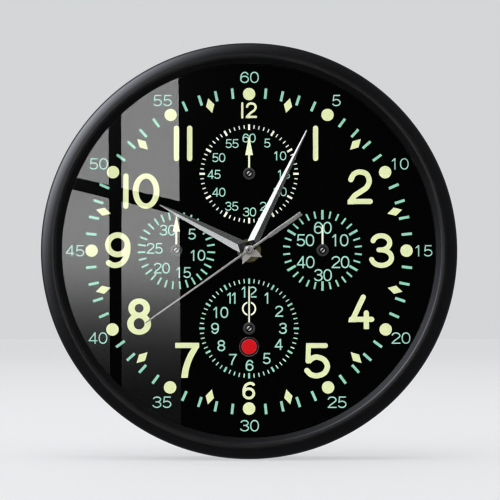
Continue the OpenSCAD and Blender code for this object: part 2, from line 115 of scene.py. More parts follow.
def glass_material():
    """Clear float glass. Shadow rays pass straight through, so the lamps reach the dial."""
    m = bpy.data.materials.new("clear_glass")
    m.use_nodes = True
    nt = m.node_tree
    nt.nodes.clear()
    out = nt.nodes.new("ShaderNodeOutputMaterial")
    bsdf = nt.nodes.new("ShaderNodeBsdfPrincipled")
    bsdf.inputs["Base Color"].default_value = (0.985, 1.0, 0.992, 1)
    bsdf.inputs["Roughness"].default_value = 0.0
    bsdf.inputs["IOR"].default_value = 1.5
    bsdf.inputs["Transmission Weight"].default_value = 1.0
    clear = nt.nodes.new("ShaderNodeBsdfTransparent")
    mix = nt.nodes.new("ShaderNodeMixShader")
    path = nt.nodes.new("ShaderNodeLightPath")
    nt.links.new(path.outputs["Is Shadow Ray"], mix.inputs["Fac"])
    nt.links.new(bsdf.outputs["BSDF"], mix.inputs[1])
    nt.links.new(clear.outputs["BSDF"], mix.inputs[2])
    nt.links.new(mix.outputs["Shader"], out.inputs["Surface"])
    return m


M = {}
M["case"] = material("case_black_abs", (0.0036, 0.0036, 0.0039), 0.24, spec=0.3, vary=0.18, rough_vary=0.03,
                     patch=60, grain=0.2, grain_scale=4200, grain_mm=0.01)
M["lip"] = material("case_black_matt", (0.003, 0.003, 0.0033), 0.36, spec=0.11, vary=0.18, rough_vary=0.03,
                    patch=60, grain=0.2, grain_scale=4200, grain_mm=0.01)
M["cover"] = material("cover_black_plastic", (0.026, 0.026, 0.028), 0.52, vary=0.2, rough_vary=0.07, patch=45,
                      grain=0.7, grain_scale=2600, grain_mm=0.05)
M["movement"] = material("movement_black_plastic", (0.013, 0.013, 0.015), 0.4, vary=0.2, rough_vary=0.06,
                         patch=160, grain=0.5, grain_scale=3800, grain_mm=0.03)
M["knob"] = material("knob_black_plastic", (0.03, 0.03, 0.033), 0.38, vary=0.15, grain=0.3, grain_scale=4200,
                     grain_mm=0.02, patch=300)
M["dial"] = material("dial_black_paint", (0.0004, 0.0004, 0.00042), 0.7, spec=0.004, vary=0.25, rough_vary=0.05,
                     patch=120, grain=0.08, grain_scale=5200, grain_mm=0.004)
M["foam"] = material("foam_black", (0.006, 0.006, 0.006), 0.9, spec=0.2, vary=0.4, rough_vary=0.05, patch=900,
                     grain=0.9, grain_scale=2400, grain_mm=0.15)
M["spacer"] = material("spacer_black", (0.004, 0.004, 0.0043), 0.6, spec=0.25, vary=0.2, patch=160, grain=0.4,
                       grain_scale=3600, grain_mm=0.02)
M["cream"] = material("print_cream", (0.75, 0.805, 0.45), 0.6, spec=0.2, vary=0.035, rough_vary=0.05, patch=500,
                      grain=0.3, grain_scale=6000, grain_mm=0.01)
M["straw"] = material("print_straw", (0.79, 0.81, 0.52), 0.6, spec=0.2, vary=0.035, rough_vary=0.05, patch=500,
                      grain=0.3, grain_scale=6000, grain_mm=0.01)
M["ivory"] = material("print_ivory", (0.93, 0.92, 0.77), 0.6, spec=0.2, vary=0.035, rough_vary=0.05, patch=500,
                      grain=0.3, grain_scale=6000, grain_mm=0.01)
M["white"] = material("print_white", (0.84, 0.87, 0.8), 0.6, spec=0.2, vary=0.035, rough_vary=0.05, patch=500,
                      grain=0.3, grain_scale=6000, grain_mm=0.01)
M["mint"] = material("print_mint", (0.285, 0.63, 0.475), 0.6, spec=0.2, vary=0.05, rough_vary=0.05, patch=500,
                     grain=0.3, grain_scale=6000, grain_mm=0.01)
M["figure"] = material("print_mint_figures", (0.345, 0.635, 0.53), 0.6, spec=0.2, vary=0.05, rough_vary=0.05, patch=500,
                       grain=0.1)
M["pale"] = material("print_pale_mint", (0.5, 0.76, 0.61), 0.6, spec=0.2, vary=0.05, rough_vary=0.05, patch=500,
                     grain=0.3, grain_scale=6000, grain_mm=0.01)
M["red"] = material("indicator_red", (0.585, 0.003, 0.007), 0.42, spec=0.25, vary=0.06, rough_vary=0.06, patch=500,
                    grain=0.3, grain_scale=4200, grain_mm=0.01)
# Paler red for the rounded rim of the indicator disc: a painted highlight running all round its edge.
M["red_edge"] = material("indicator_rim_painted_highlight", (0.5, 0.06, 0.07), 0.4, spec=0.4, vary=0.06, rough_vary=0.06, patch=500,
                         grain=0.3, grain_scale=4200, grain_mm=0.01)
M["collar"] = material("collar_grey", (0.34, 0.32, 0.34), 0.2, metal=1.0, vary=0.12, patch=600, grain=0.3,
                       grain_scale=4200, grain_mm=0.01)
M["facet"] = material("hand_polished_facets", (0.88, 0.88, 0.89), 0.11, metal=1.0, vary=0.03, rough_vary=0.012,
                      patch=90, grain=0.03, grain_scale=1600, grain_mm=0.001)
M["step"] = material("hand_mirror_step", (0.5, 0.5, 0.52), 0.1, metal=1.0, vary=0.05, rough_vary=0.03, patch=500,
                     grain=0.1, grain_scale=4200, grain_mm=0.004)
# A ten times darker copy of the mirror step metal: painted shade for the step of the minute hand.
M["step_painted_shade"] = material("hand_step_painted_shade", (0.05, 0.048, 0.049), 0.16, metal=1.0, vary=0.05, rough_vary=0.03, patch=500,
                           grain=0.03)
M["satin"] = material("hand_satin_aluminium", (0.66, 0.62, 0.6), 0.5, metal=0.75, vary=0.06, rough_vary=0.06,
                      patch=420, grain=0.5, grain_scale=4200, grain_mm=0.012)
M["rod"] = material("second_hand_satin", (0.42, 0.4, 0.4), 0.3, metal=0.85, vary=0.06, rough_vary=0.06,
                    patch=420, grain=0.4, grain_scale=4200, grain_mm=0.01)
M["rim"] = material("rivet_burnished_rim", (0.66, 0.64, 0.64), 0.25, metal=0.9, vary=0.05, rough_vary=0.03, patch=420,
                    grain=0.1)
M["rivet"] = material("rivet_aluminium", (0.55, 0.52, 0.52), 0.34, metal=0.85, vary=0.06, rough_vary=0.05, patch=420,
                      grain=0.3, grain_scale=4200, grain_mm=0.006)
M["lacquer"] = material("hand_cream_lacquer", (0.86, 0.9, 0.6), 0.42, spec=0.35, vary=0.03, rough_vary=0.05,
                        patch=600, grain=0.2, grain_scale=4200, grain_mm=0.008)
M["lacquer_pale"] = material("hand_pale_lacquer", (0.9, 0.92, 0.72), 0.42, spec=0.35, vary=0.03, rough_vary=0.05,
                             patch=600, grain=0.2, grain_scale=4200, grain_mm=0.008)
M["hub"] = material("hub_dark_anodised", (0.042, 0.041, 0.046), 0.34, metal=0.25, vary=0.15, rough_vary=0.06,
                    patch=700, grain=0.4, grain_scale=5200, grain_mm=0.01)
# Near-black painted shade for recesses: the seats round the register pins, the bottom of the second-hand rivet's hole
# and the gap inside the indicator collar. The dark plate under the lower needle uses it too.
M["well"] = material("black_painted_recess_shade", (0.003, 0.003, 0.0032), 0.6, spec=0.15, vary=0.2, patch=700, grain=0.3,
                     grain_scale=4200, grain_mm=0.01)
M["pin"] = material("pin_steel", (0.78, 0.77, 0.75), 0.34, metal=0.9, vary=0.06, rough_vary=0.08, patch=900,
                    grain=0.3, grain_scale=5200, grain_mm=0.006)
M["nut_rim"] = material("nut_worn_rim", (0.15, 0.13, 0.085), 0.42, metal=0.85, vary=0.2, rough_vary=0.1, patch=420,
                        grain=0.2)
M["brass"] = material("nut_dull_brass", (0.155, 0.15, 0.062), 0.46, metal=0.85, vary=0.18, rough_vary=0.1, patch=420,
                      grain=0.5, grain_scale=3200, grain_mm=0.02, tint=(0.25, 0.21, 0.08))
M["wheel_brass"] = material("wheel_brass", (0.66, 0.46, 0.16), 0.3, metal=1.0, vary=0.1, patch=500, grain=0.3,
                            grain_scale=4200, grain_mm=0.008)
M["nylon"] = material("wheel_nylon", (0.74, 0.73, 0.66), 0.45, vary=0.04, patch=400, grain=0.3, grain_scale=4200,
                      grain_mm=0.01)
M["steel"] = material("screw_zinc", (0.6, 0.6, 0.61), 0.33, metal=1.0, vary=0.12, rough_vary=0.1, patch=420,
                      grain=0.35, grain_scale=3200, grain_mm=0.012)
M["hanger"] = material("hanger_galvanised", (0.58, 0.59, 0.6), 0.38, metal=1.0, vary=0.22, rough_vary=0.12,
                       patch=130, grain=0.5, grain_scale=1200, grain_mm=0.02, stretch=(1, 1, 0.35))
M["rubber"] = material("black_rubber", (0.012, 0.012, 0.012), 0.75, spec=0.3, vary=0.2, patch=300, grain=0.5,
                       grain_scale=3200, grain_mm=0.03)
M["board"] = material("board_green", (0.02, 0.14, 0.06), 0.4, vary=0.15, patch=400, grain=0.3, grain_scale=3200,
                      grain_mm=0.01, coat=0.4)
M["chip"] = material("chip_black", (0.012, 0.012, 0.012), 0.35, vary=0.2, patch=900, grain=0.3, grain_scale=4200,
                     grain_mm=0.01)
M["copper"] = material("copper_wire", (0.72, 0.27, 0.1), 0.34, metal=0.9, vary=0.1, patch=900, grain=0.9,
                       grain_scale=6000, grain_mm=0.05, stretch=(1, 0.1, 0.1))
M["nickel"] = material("contact_nickel", (0.66, 0.63, 0.55), 0.3, metal=1.0, vary=0.08, patch=500, grain=0.3,
                       grain_scale=3200, grain_mm=0.008)
M["magnet"] = material("magnet_grey", (0.16, 0.16, 0.17), 0.4, metal=0.8, vary=0.12, patch=700, grain=0.4,
                       grain_scale=4200, grain_mm=0.01)
M["glass"] = glass_material()


def battery_material():
    """Plain grey jacket with a dark band at the negative end; the caps get no finish of their own."""
    m = material("cell_jacket", (0.42, 0.44, 0.46), 0.32, metal=0.55, vary=0.06, rough_vary=0.05, patch=200,
                 grain=0.25, grain_scale=3200, grain_mm=0.01, coat=0.3)
    nt = m.node_tree
    bsdf = next(n for n in nt.nodes if n.type == "BSDF_PRINCIPLED")
    old = bsdf.inputs["Base Color"].links[0].from_socket
    coords = next(n for n in nt.nodes if n.type == "TEX_COORD")
    sep = nt.nodes.new("ShaderNodeSeparateXYZ")
    nt.links.new(coords.outputs["Object"], sep.inputs["Vector"])
    band = nt.nodes.new("ShaderNodeMapRange")
    band.inputs["From Min"].default_value = -0.0135
    band.inputs["From Max"].default_value = -0.0133
    band.inputs["To Min"].default_value = 1.0
    band.inputs["To Max"].default_value = 0.0
    nt.links.new(sep.outputs["X"], band.inputs["Value"])
    mix = nt.nodes.new("ShaderNodeMix")
    mix.data_type = "RGBA"
    nt.links.new(band.outputs["Result"], mix.inputs["Factor"])
    nt.links.new(old, mix.inputs["A"])
    mix.inputs["B"].default_value = (0.03, 0.032, 0.036, 1)
    nt.links.new(mix.outputs["Result"], bsdf.inputs["Base Color"])
    return m


M["cell"] = battery_material()


def pin_material():
    """Steel with near-black painted shade standing in for the slots, which all run the same way across the four heads.
    """
    m = material("pin_head_steel", (0.86, 0.85, 0.83), 0.34, metal=0.7, vary=0.06, rough_vary=0.08, patch=900,
                 grain=0.3, grain_scale=5200, grain_mm=0.006)
    nt = m.node_tree
    bsdf = next(n for n in nt.nodes if n.type == "BSDF_PRINCIPLED")
    old = bsdf.inputs["Base Color"].links[0].from_socket
    coords = next(n for n in nt.nodes if n.type == "TEX_COORD")
    sep = nt.nodes.new("ShaderNodeSeparateXYZ")
    nt.links.new(coords.outputs["Object"], sep.inputs["Vector"])

    def calc(op, a, b):
        n = nt.nodes.new("ShaderNodeMath")
        n.operation = op
        for i, v in enumerate((a, b)):
            if isinstance(v, (int, float)):
                n.inputs[i].default_value = v
            elif v is not None:
                nt.links.new(v, n.inputs[i])
        return n.outputs[0]

    across = calc("SUBTRACT", sep.outputs["X"], sep.outputs["Z"])
    near = None
    for c in (-0.056, 0.05305, -0.05295, 0.0564):
        d = calc("ABSOLUTE", calc("SUBTRACT", across, c), None)
        near = d if near is None else calc("MINIMUM", near, d)
    band = nt.nodes.new("ShaderNodeMapRange")
    band.inputs["From Min"].default_value = 0.00082
    band.inputs["From Max"].default_value = 0.00096
    band.inputs["To Min"].default_value = 1.0
    band.inputs["To Max"].default_value = 0.0
    nt.links.new(near, band.inputs["Value"])
    mix = nt.nodes.new("ShaderNodeMix")
    mix.data_type = "RGBA"
    nt.links.new(band.outputs["Result"], mix.inputs["Factor"])
    nt.links.new(old, mix.inputs["A"])
    # near-black painted shade for the slots
    mix.inputs["B"].default_value = (0.01, 0.01, 0.011, 1)
    nt.links.new(mix.outputs["Result"], bsdf.inputs["Base Color"])
    return m


M["pin_head"] = pin_material()


# ---------------------------------------------------------------- meshes


def add(name, verts, faces, mat, smooth=None, mats=None):
    """Object from points and faces. smooth is the angle under which neighbouring faces shade as one."""
    me = bpy.data.meshes.new(name)
    me.from_pydata([tuple(v) for v in verts], [], faces)
    for m in mat if isinstance(mat, (list, tuple)) else [mat]:
        me.materials.append(m)
    if mats is not None:
        me.polygons.foreach_set("material_index", mats)
    if smooth is not None:
        me.shade_smooth()
        me.set_sharp_from_angle(angle=math.radians(smooth))
    bm = bmesh.new()
    bm.from_mesh(me)
    if all(e.is_manifold for e in bm.edges) and bm.calc_volume(signed=True) < 0:
        bmesh.ops.reverse_faces(bm, faces=bm.faces)
        bm.to_mesh(me)
    bm.free()
    me.update()
    ob = bpy.data.objects.new(name, me)
    scene.collection.objects.link(ob)
    return ob


def lathe(name, profile, mat, at=(0, 0), n=96, smooth=32, bands=None):
    """Closed solid of revolution about the depth axis. profile is a closed outline of (r, d), wound so
    that d rises on the outside. bands gives the finish of each stretch of the outline."""
    verts, rows = [], []
    for r, d in profile:
        if r < 1e-6:
            rows.append([len(verts)])
            verts.append(P(at[0], at[1], d))
        else:
            rows.append(list(range(len(verts), len(verts) + n)))
            verts += [P(at[0] + r * math.cos(2 * math.pi * k / n), at[1] + r * math.sin(2 * math.pi * k / n), d)
                      for k in range(n)]
    faces, mats = [], []
    for i, a in enumerate(rows):
        b = rows[(i + 1) % len(rows)]
        if len(a) == 1 and len(b) == 1:
            continue
        for k in range(n):
            j = (k + 1) % n
            mats.append(bands[i] if bands else 0)
            if len(a) == 1:
                faces.append((a[0], b[j], b[k]))
            elif len(b) == 1:
                faces.append((a[k], a[j], b[0]))
            else:
                faces.append((a[k], a[j], b[j], b[k]))
    return add(name, verts, faces, mat, smooth, mats if bands else None)


def area(poly):
    return 0.5 * sum(a[0] * b[1] - b[0] * a[1] for a, b in zip(poly, poly[1:] + poly[:1]))


def circle(cx, cy, r, n=40, ry=None):
    return [(cx + r * math.cos(2 * math.pi * k / n), cy + (ry or r) * math.sin(2 * math.pi * k / n)) for k in range(n)]


def arc(cx, cy, rx, ry, a0, a1, n=None):
    n = n or max(4, int(abs(a1 - a0) / 9))
    return [(cx + rx * math.cos(math.radians(a0 + (a1 - a0) * k / n)),
             cy + ry * math.sin(math.radians(a0 + (a1 - a0) * k / n))) for k in range(n + 1)]


def spline(pts, n=7):
    """Smooth curve through the points."""
    out = []
    for i in range(len(pts) - 1):
        p0 = pts[i - 1] if i else (2 * pts[0][0] - pts[1][0], 2 * pts[0][1] - pts[1][1])
        p1, p2 = pts[i], pts[i + 1]
        p3 = pts[i + 2] if i + 2 < len(pts) else (2 * p2[0] - p1[0], 2 * p2[1] - p1[1])
        for k in range(n):
            t = k / n
            out.append(tuple(0.5 * (2 * p1[c] + (p2[c] - p0[c]) * t + (2 * p0[c] - 5 * p1[c] + 4 * p2[c] - p3[c]) * t * t
                                    + (3 * p1[c] - p0[c] - 3 * p2[c] + p3[c]) * t ** 3) for c in (0, 1)))
    out.append(tuple(pts[-1]))
    return out


def ribbon(pts, w, cap0=False, cap1=False, closed=False):
    """Polygons of a stroke of width w along a line, with round ends where asked."""
    n = len(pts)
    left, right = [], []
    for i in range(n):
        a = pts[i - 1] if i or closed else None
        b = pts[(i + 1) % n] if i < n - 1 or closed else None
        dirs = []
        for p, q in ((a, pts[i]), (pts[i], b)):
            if p is not None and q is not None:
                dx, dy = q[0] - p[0], q[1] - p[1]
                m = math.hypot(dx, dy) or 1e-9
                dirs.append((dx / m, dy / m))
        tx, ty = sum(d[0] for d in dirs), sum(d[1] for d in dirs)
        m = math.hypot(tx, ty) or 1e-9
        tx, ty = tx / m, ty / m
        k = min(2.6, 1 / max(0.2, tx * dirs[0][0] + ty * dirs[0][1]))
        h = 0.5 * w * k
        left.append((pts[i][0] - ty * h, pts[i][1] + tx * h))
        right.append((pts[i][0] + ty * h, pts[i][1] - tx * h))
    polys = [[left[i], left[(i + 1) % n], right[(i + 1) % n], right[i]] for i in range(n if closed else n - 1)]
    for cap, p in ((cap0, pts[0]), (cap1, pts[-1])):
        if cap:
            polys.append(circle(p[0], p[1], w / 2, 24))
    return polys


def ring(cx, cy, rx, ry, ix, iy, n=56):
    """Polygons of the band between two ellipses."""
    o, i = circle(cx, cy, rx, n, ry), circle(cx, cy, ix, n, iy)
    return [[o[k], o[(k + 1) % n], i[(k + 1) % n], i[k]] for k in range(n)]


def union(polys, holes=()):
    """Triangles that cover the polygons but not the holes: (points, triangles, first polygon of each)."""
    pts, faces = [], []
    for p in list(polys) + list(holes):
        p = list(p)
        if abs(area(p)) < 1e-6:
            if p in list(holes):
                raise ValueError("empty hole")
            continue
        if area(p) < 0:
            p = p[::-1]
        faces.append(list(range(len(pts), len(pts) + len(p))))
        pts += [Vector((q[0], q[1])) for q in p]
    solid = len(faces) - len(holes)
    v, _, f, _, _, src = geometry.delaunay_2d_cdt(pts, [], faces, 1, 1e-5)
    tris, own = [], []
    for t, s in zip(f, src):
        if s and max(s) < solid:
            t = list(t)
            if area([v[k] for k in t]) < 0:
                t = t[::-1]
            tris.append(t)
            own.append(min(s))
    used = sorted({k for t in tris for k in t})
    new = {k: i for i, k in enumerate(used)}
    return [(v[k][0], v[k][1]) for k in used], [[new[k] for k in t] for t in tris], own


def raised(pts, tris, low, high):
    """Closed solid under a triangulated outline. high is a height or one for each point."""
    n = len(pts)
    top = high if isinstance(high, (list, tuple)) else [high] * n
    verts = [P(p[0], p[1], h) for p, h in zip(pts, top)] + [P(p[0], p[1], low) for p in pts]
    faces = [tuple(t) for t in tris]
    faces += [tuple(k + n for k in reversed(t)) for t in tris]
    edges = {}
    for t in tris:
        for a, b in zip(t, t[1:] + t[:1]):
            edges[(a, b)] = True
    for a, b in edges:
        if (b, a) not in edges:
            faces.append((b, a, a + n, b + n))
    return verts, faces


def turned(pts, angle, at=(0, 0)):
    """Points drawn pointing up, turned clockwise about the origin and moved."""
    c, s = math.cos(math.radians(angle)), math.sin(math.radians(angle))
    return [(at[0] + v * c + u * s, at[1] - v * s + u * c) for v, u in pts]


def soften(ob, width_mm, angle=40, segments=2):
    """Rounds the edges of a piece."""
    b = ob.modifiers.new("edge", "BEVEL")
    b.width = width_mm * MM
    b.segments = segments
    b.limit_method = "ANGLE"
    b.angle_limit = math.radians(angle)
    b.harden_normals = False
    bpy.context.view_layer.update()
    dg = bpy.context.evaluated_depsgraph_get()
    me = bpy.data.meshes.new_from_object(ob.evaluated_get(dg))
    ob.modifiers.clear()
    old = ob.data
    ob.data = me
    bpy.data.meshes.remove(old)
    me.shade_smooth()
    me.set_sharp_from_angle(angle=math.radians(30))
    return ob


def dissolve(ob, angle=0.5):
    """Joins the flat triangles of a piece into whole faces."""
    bm = bmesh.new()
    bm.from_mesh(ob.data)
    bmesh.ops.remove_doubles(bm, verts=bm.verts, dist=1e-7)
    bmesh.ops.dissolve_limit(bm, angle_limit=math.radians(angle), verts=bm.verts, edges=bm.edges,
                             delimit={"MATERIAL"})
    bm.to_mesh(ob.data)
    bm.free()
    return ob


def ride(ob, body, *stands_for, slot=None):
    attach(ob, body)
    if stands_for:
        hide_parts(*stands_for)
    return ob


# ---------------------------------------------------------------- case and glass

CREST = 140.5


def case_profile():
    pts = [(147.4, 0.35), (147.75, 0.0), (148.4, 0.0), (148.75, 0.15), (148.9, 0.5)]
    pts += [(148.9 + 1.1 * t, 0.5 + 8.5 * t) for t in (0.33, 0.66, 1.0)]
    pts += [(150, 17), (150, 26)]
    pts += [(CREST + (150 - CREST) * math.cos(math.radians(a)), 34 + 9.5 * math.sin(math.radians(a)))
            for a in range(0, 91, 5)]
    pts += [(139.6, 43.4)]
    pts += [(138.6 - 0.6 * math.sin(math.radians(a)), 42.6 + 0.6 * math.cos(math.radians(a))) for a in range(0, 91, 15)]
    pts += [(137.6, 42.25), (136.6, 41.45), (135.5, 40.55), (134.65, 39.9), (134.38, 39.62), (134.3, 39.35),
            (134.3, 39.0), (137.9, 39.0), (137.9, 21.5), (140.4, 21.5),
            (140.4, 39.9), (141.0, 40.4), (143.2, 40.3), (146.2, 37.2), (147.4, 33.5)]
    return pts


outline = case_profile()
bezel = lathe("bezel_frame_moulding", outline, [M["case"], M["lip"]], n=360, smooth=28,
              bands=[1 if 134.2 < r < 137.7 and 39.2 < d < 42.3 else 0 for r, d in outline])
posts = []
for i in range(6):
    a = math.radians(30 + 60 * i)
    posts.append(lathe("post", [(1.25, 5), (3.5, 5), (3.7, 5.2), (3.7, 37.4), (1.25, 37.4)], M["case"],
                       (143.9 * math.cos(a), 143.9 * math.sin(a)), n=32))
with bpy.context.temp_override(active_object=bezel, selected_editable_objects=[bezel] + posts):
    bpy.ops.object.join()
ride(bezel, "case", "bezel_frame", slot="case_black")

glass = lathe("glass_pane", [(0, 37), (137.2, 37), (137.6, 37.4), (137.6, 38.6), (137.2, 39), (0, 39)], M["glass"],
              n=256, smooth=20)
ride(glass, "case", "glass_lens", slot="clear_glass")


# ---------------------------------------------------------------- dial print

DIAL = 23.3
SHEET = 1.377          # drawing units of the dial sheet for each millimetre


def sheet(x, y):
    """Point of the dial sheet, x to the right and y down from the hand axis, in millimetres of the front view."""
    return (x / SHEET, -y / SHEET)


def drawn(polys):
    return [[sheet(*p) for p in poly] for poly in polys]


def bar(a, r0, r1, w, at=(0, 0)):
    """Radial tick at a clockwise angle, lengths in drawing units."""
    return turned([(-w / 2 / SHEET, r0 / SHEET), (w / 2 / SHEET, r0 / SHEET), (w / 2 / SHEET, r1 / SHEET),
                   (-w / 2 / SHEET, r1 / SHEET)], a, at)


def glyph(ch, W, s):
    """Strokes of a figure one unit high, x to the right and y up."""
    c = s / 2
    if ch == "0":
        pts = []
        for k in range(40):
            a = 2 * math.pi * k / 40
            ca, sa = math.cos(a), math.sin(a)
            pts.append((W / 2 + (W / 2 - c) * math.copysign(abs(ca) ** 0.9, ca),
                        0.5 + (0.5 - c) * math.copysign(abs(sa) ** 0.9, sa)))
        return ribbon(pts, s, closed=True)
    if ch == "1":
        x = W * 0.6
        return [[(x - s, 0), (x, 0), (x, 1), (x - s * 0.9, 1), (x - s, 0.96)],
                [(x - s * 0.9, 1), (x - s - W * 0.28, 0.79), (x - s - W * 0.28, 0.79 - s * 0.95), (x - s * 0.5, 0.86)]]
    if ch == "2":
        top = arc(W / 2, 0.71, W / 2 - c, 0.29 - c, 178, -32)
        line = top + [(W * 0.56, 0.41), (W * 0.3, 0.27), (W * 0.13, s * 0.9)]
        return ribbon(top[:-1] + spline([top[-2], top[-1], (W * 0.56, 0.4), (W * 0.29, 0.25), (c * 1.25, s * 0.6)], 5)[5:], s) + [
            [(0, 0), (W, 0), (W, s), (0, s)], [(0, 0), (c * 2.6, 0), (c * 2.6, s), (0, s * 0.9)]] if line else []
    if ch == "3":
        up, lo = (1 - c + 0.53) / 2, (0.53 + c) / 2
        return (ribbon(arc(W / 2, up, W / 2 - c - 0.02, (1 - c - 0.53) / 2, 172, -90), s)
                + ribbon(arc(W / 2 - 0.01, lo, W / 2 - c + 0.01, (0.53 - c) / 2, 90, -172), s)
                + [[(W * 0.34, 0.53 - c), (W * 0.55, 0.53 - c), (W * 0.55, 0.53 + c), (W * 0.34, 0.53 + c)]])
    if ch == "4":
        x = W * 0.73
        return [[(x - c, 0), (x + c, 0), (x + c, 1), (x - c, 1)], [(0, 0.22), (W, 0.22), (W, 0.22 + s), (0, 0.22 + s)],
                [(x - c * 0.9, 1), (0, 0.22 + s * 0.8), (0, 0.22), (s * 0.5, 0.22), (x, 1 - s * 1.3), (x, 1)]]
    if ch == "5":
        bowl = arc(W / 2 - 0.01, 0.32, W / 2 - c + 0.01, 0.32 - c, 140, -158)
        return (ribbon(bowl, s) + [[(W * 0.15, 1 - s), (W * 0.93, 1 - s), (W * 0.93, 1), (W * 0.15, 1)],
                [(W * 0.15, 1), (W * 0.07, 0.44), (W * 0.07 + s * 0.95, 0.44), (W * 0.15 + s, 1)]])
    if ch in "69":
        polys = (ribbon(arc(W / 2, 0.33, W / 2 - c, 0.33 - c, 0, 351, 36), s, closed=True)
                 + ribbon(arc(W / 2 + 0.02, 0.46, W / 2 - c + 0.02, 0.54 - c, 205, 32), s))
        return polys if ch == "6" else [[(W - x, 1 - y) for x, y in p] for p in polys]
    if ch == "7":
        return ([[(0, 1 - s), (W, 1 - s), (W, 1), (0, 1)]]
                + ribbon(spline([(W - c * 1.1, 1 - c), (W * 0.62, 0.6), (W * 0.4, 0.28), (W * 0.33, 0)], 6), s))
    if ch == "8":
        up, lo = (1 - c + 0.53) / 2, (0.53 + c) / 2
        return (ribbon(arc(W / 2, up, W / 2 - c - 0.03, (1 - c - 0.53) / 2, 0, 351, 32), s, closed=True)
                + ribbon(arc(W / 2, lo, W / 2 - c, (0.53 - c) / 2, 0, 351, 34), s, closed=True))
    raise ValueError(ch)


def figures(text, x, y, h, stroke, wide=0.71, step=0.76):
    """Upright number centred on a point of the dial sheet."""
    s = stroke / h
    polys, pen = [], 0.0
    for i, ch in enumerate(text):
        g = glyph(ch, wide, s)
        if ch == "1":
            shift = min(p[0] for poly in g for p in poly)
            g = [[(a - shift, b) for a, b in poly] for poly in g]
        polys += [[(a + pen, b) for a, b in poly] for poly in g]
        if ch == "1":
            pen += (0.42 if text[i + 1:i + 2] == "1" else 0.62) * step / 0.76
        else:
            pen += step
    xs = [p[0] for poly in polys for p in poly]
    mid = (min(xs) + max(xs)) / 2
    return [[sheet(x + (a - mid) * h, y - (b - 0.5) * h) for a, b in poly] for poly in polys]


def at(x, y):
    """Offset from the middle of the drawn sheet, on which the hour numerals were laid out."""
    return (x - 248.8, y - 251.3)


def sarc(cx, cy, rx, ry, a0, a1, n=None):
    return [(px, 2 * cy - py) for px, py in arc(cx, cy, rx, ry, a0, a1, n)]


def hour_strokes():
    """The large numerals: (polygons in sheet coordinates before centring) for each figure."""
    figs = []

    def stroke(pts, w, *ends, **kind):
        return ribbon(pts, w - (0.45 if w > 4 else 0.25), *ends, **kind)

    def loop(cx, cy, rx, ry, ix, iy):
        return ring(cx, cy, rx - 0.22, ry - 0.22, ix + 0.22, iy + 0.22)

    def cap(x, y0, y1, w):
        return stroke([(x, y0 + w / 2), (x, y1 - w / 2)], w, True, True)

    figs.append(cap(315.5, 125.5, 161.5, 5.7))
    figs.append(cap(175.9, 125.5, 161.7, 5.8))
    figs.append(cap(189.2, 125.5, 161.7, 5.8))
    figs.append(cap(125.35, 173.6, 209.6, 5.8))
    figs.append(loop(145.6, 191.55, 13.65, 18, 7.3, 12.2))
    two = spline([(350.8, 180), (353.8, 174.6), (359.9, 172.3), (366.6, 174.6), (369.2, 181.4), (366.5, 187.8),
                  (360.5, 192.2), (354.5, 196.2), (350.8, 201.2)], 6)
    figs.append(stroke(two, 5.8, True, False)
                + [[(347.4, 204.8), (347.5, 200.6), (349.4, 198.6), (354, 199.2), (354, 204.8)]]
                + stroke([(350, 201.95), (370.1, 201.95)], 5.7, False, True))
    figs.append(stroke(sarc(381.0, 243.4, 8.5, 7.1, 163, -90), 5.55, True, False)
                + stroke(sarc(381.2, 258.3, 10.1, 7.75, 90, -166), 5.55, False, True)
                + stroke([(378.6, 250.5), (383, 250.5)], 5.3, True, False))
    figs.append(stroke(sarc(117.3, 245.4, 9.75, 9.7, 0, 352, 44), 6.1, closed=True)
                + stroke(spline([(127.4, 244.5), (127.3, 251.5), (125.4, 258.6), (121.2, 263.9), (116, 265.9),
                                 (111.6, 265.4), (108.3, 263.5)], 7), 6, False, True))
    figs.append(stroke([(362.8, 297.8), (352.2, 320.2)], 5.8, True, False)
                + [[(347.9, 322.8), (348.6, 318.5), (351.5, 316.5), (356, 317.1), (356, 322.8)]]
                + stroke([(351, 319.95), (371.2, 319.95)], 5.7, False, True)
                + stroke([(365.9, 313.6), (365.9, 329.7)], 5.8, True, False))
    figs.append(loop(139, 308.9, 11, 10.1, 4.2, 4.1) + loop(139, 324.4, 12.2, 11.1, 5.2, 5.4))
    figs.append([[(305.7, 343.6), (325, 343.6), (325, 348.6), (305.5, 348.6)], circle(325, 346.1, 2.5, 24)]
                + stroke([(308.2, 345), (307.6, 361.6)], 5.4, False, True)
                + stroke(spline([(308, 362.3), (311.6, 358.9), (316.8, 357.6), (323.8, 360.4), (326.9, 366.9),
                                 (323.8, 373.4), (316.8, 376.1), (310.6, 374.9), (306.4, 371)], 6), 5.8, False, True))
    right = spline([(199, 347.6), (195, 354.2), (191.3, 362), (188.9, 370), (187.7, 378.2)], 5)
    left = spline([(181, 378.2), (182.3, 370), (184.8, 361.8), (188.0, 354.6), (191.5, 348.8)], 5)
    figs.append([[(175, 343.3), (198.9, 343.3), (198.9, 348.2), (197.9, 348.6), (175.1, 348.6)],
                 [(191.5, 348.0), (199, 343.4)] + right + left])
    figs.append(cap(241.95, 102.0, 118.6, 2.45))
    figs.append(stroke(spline([(246.7, 106.6), (248.2, 104.1), (251.1, 103.3), (254.3, 104.4), (255.4, 107.3),
                               (254.0, 110.1), (250.7, 112.6), (248.0, 115.2), (247.2, 116.6)], 6), 2.55, True, False)
                + [[(245.4, 118.2), (245.5, 116.2), (246.9, 114.7), (250, 115.4), (250, 118.2)]]
                + stroke([(247.5, 116.85), (255.7, 116.85)], 2.5, False, True))
    figs.append(stroke(sarc(248.5, 393.7, 5.0, 4.65, 0, 352, 36), 3.0, closed=True)
                + stroke(spline([(243.6, 394.2), (243.7, 389.8), (245.4, 385.8), (248.6, 383.9), (251.4, 383.8),
                                 (253.2, 384.9)], 6), 3.05, False, True))
    return [[[at(*p) for p in poly] for poly in fig] for fig in figs]


prints = {"cream": [], "straw": [], "ivory": [], "white": [], "mint": [], "pale": [], "figure": []}

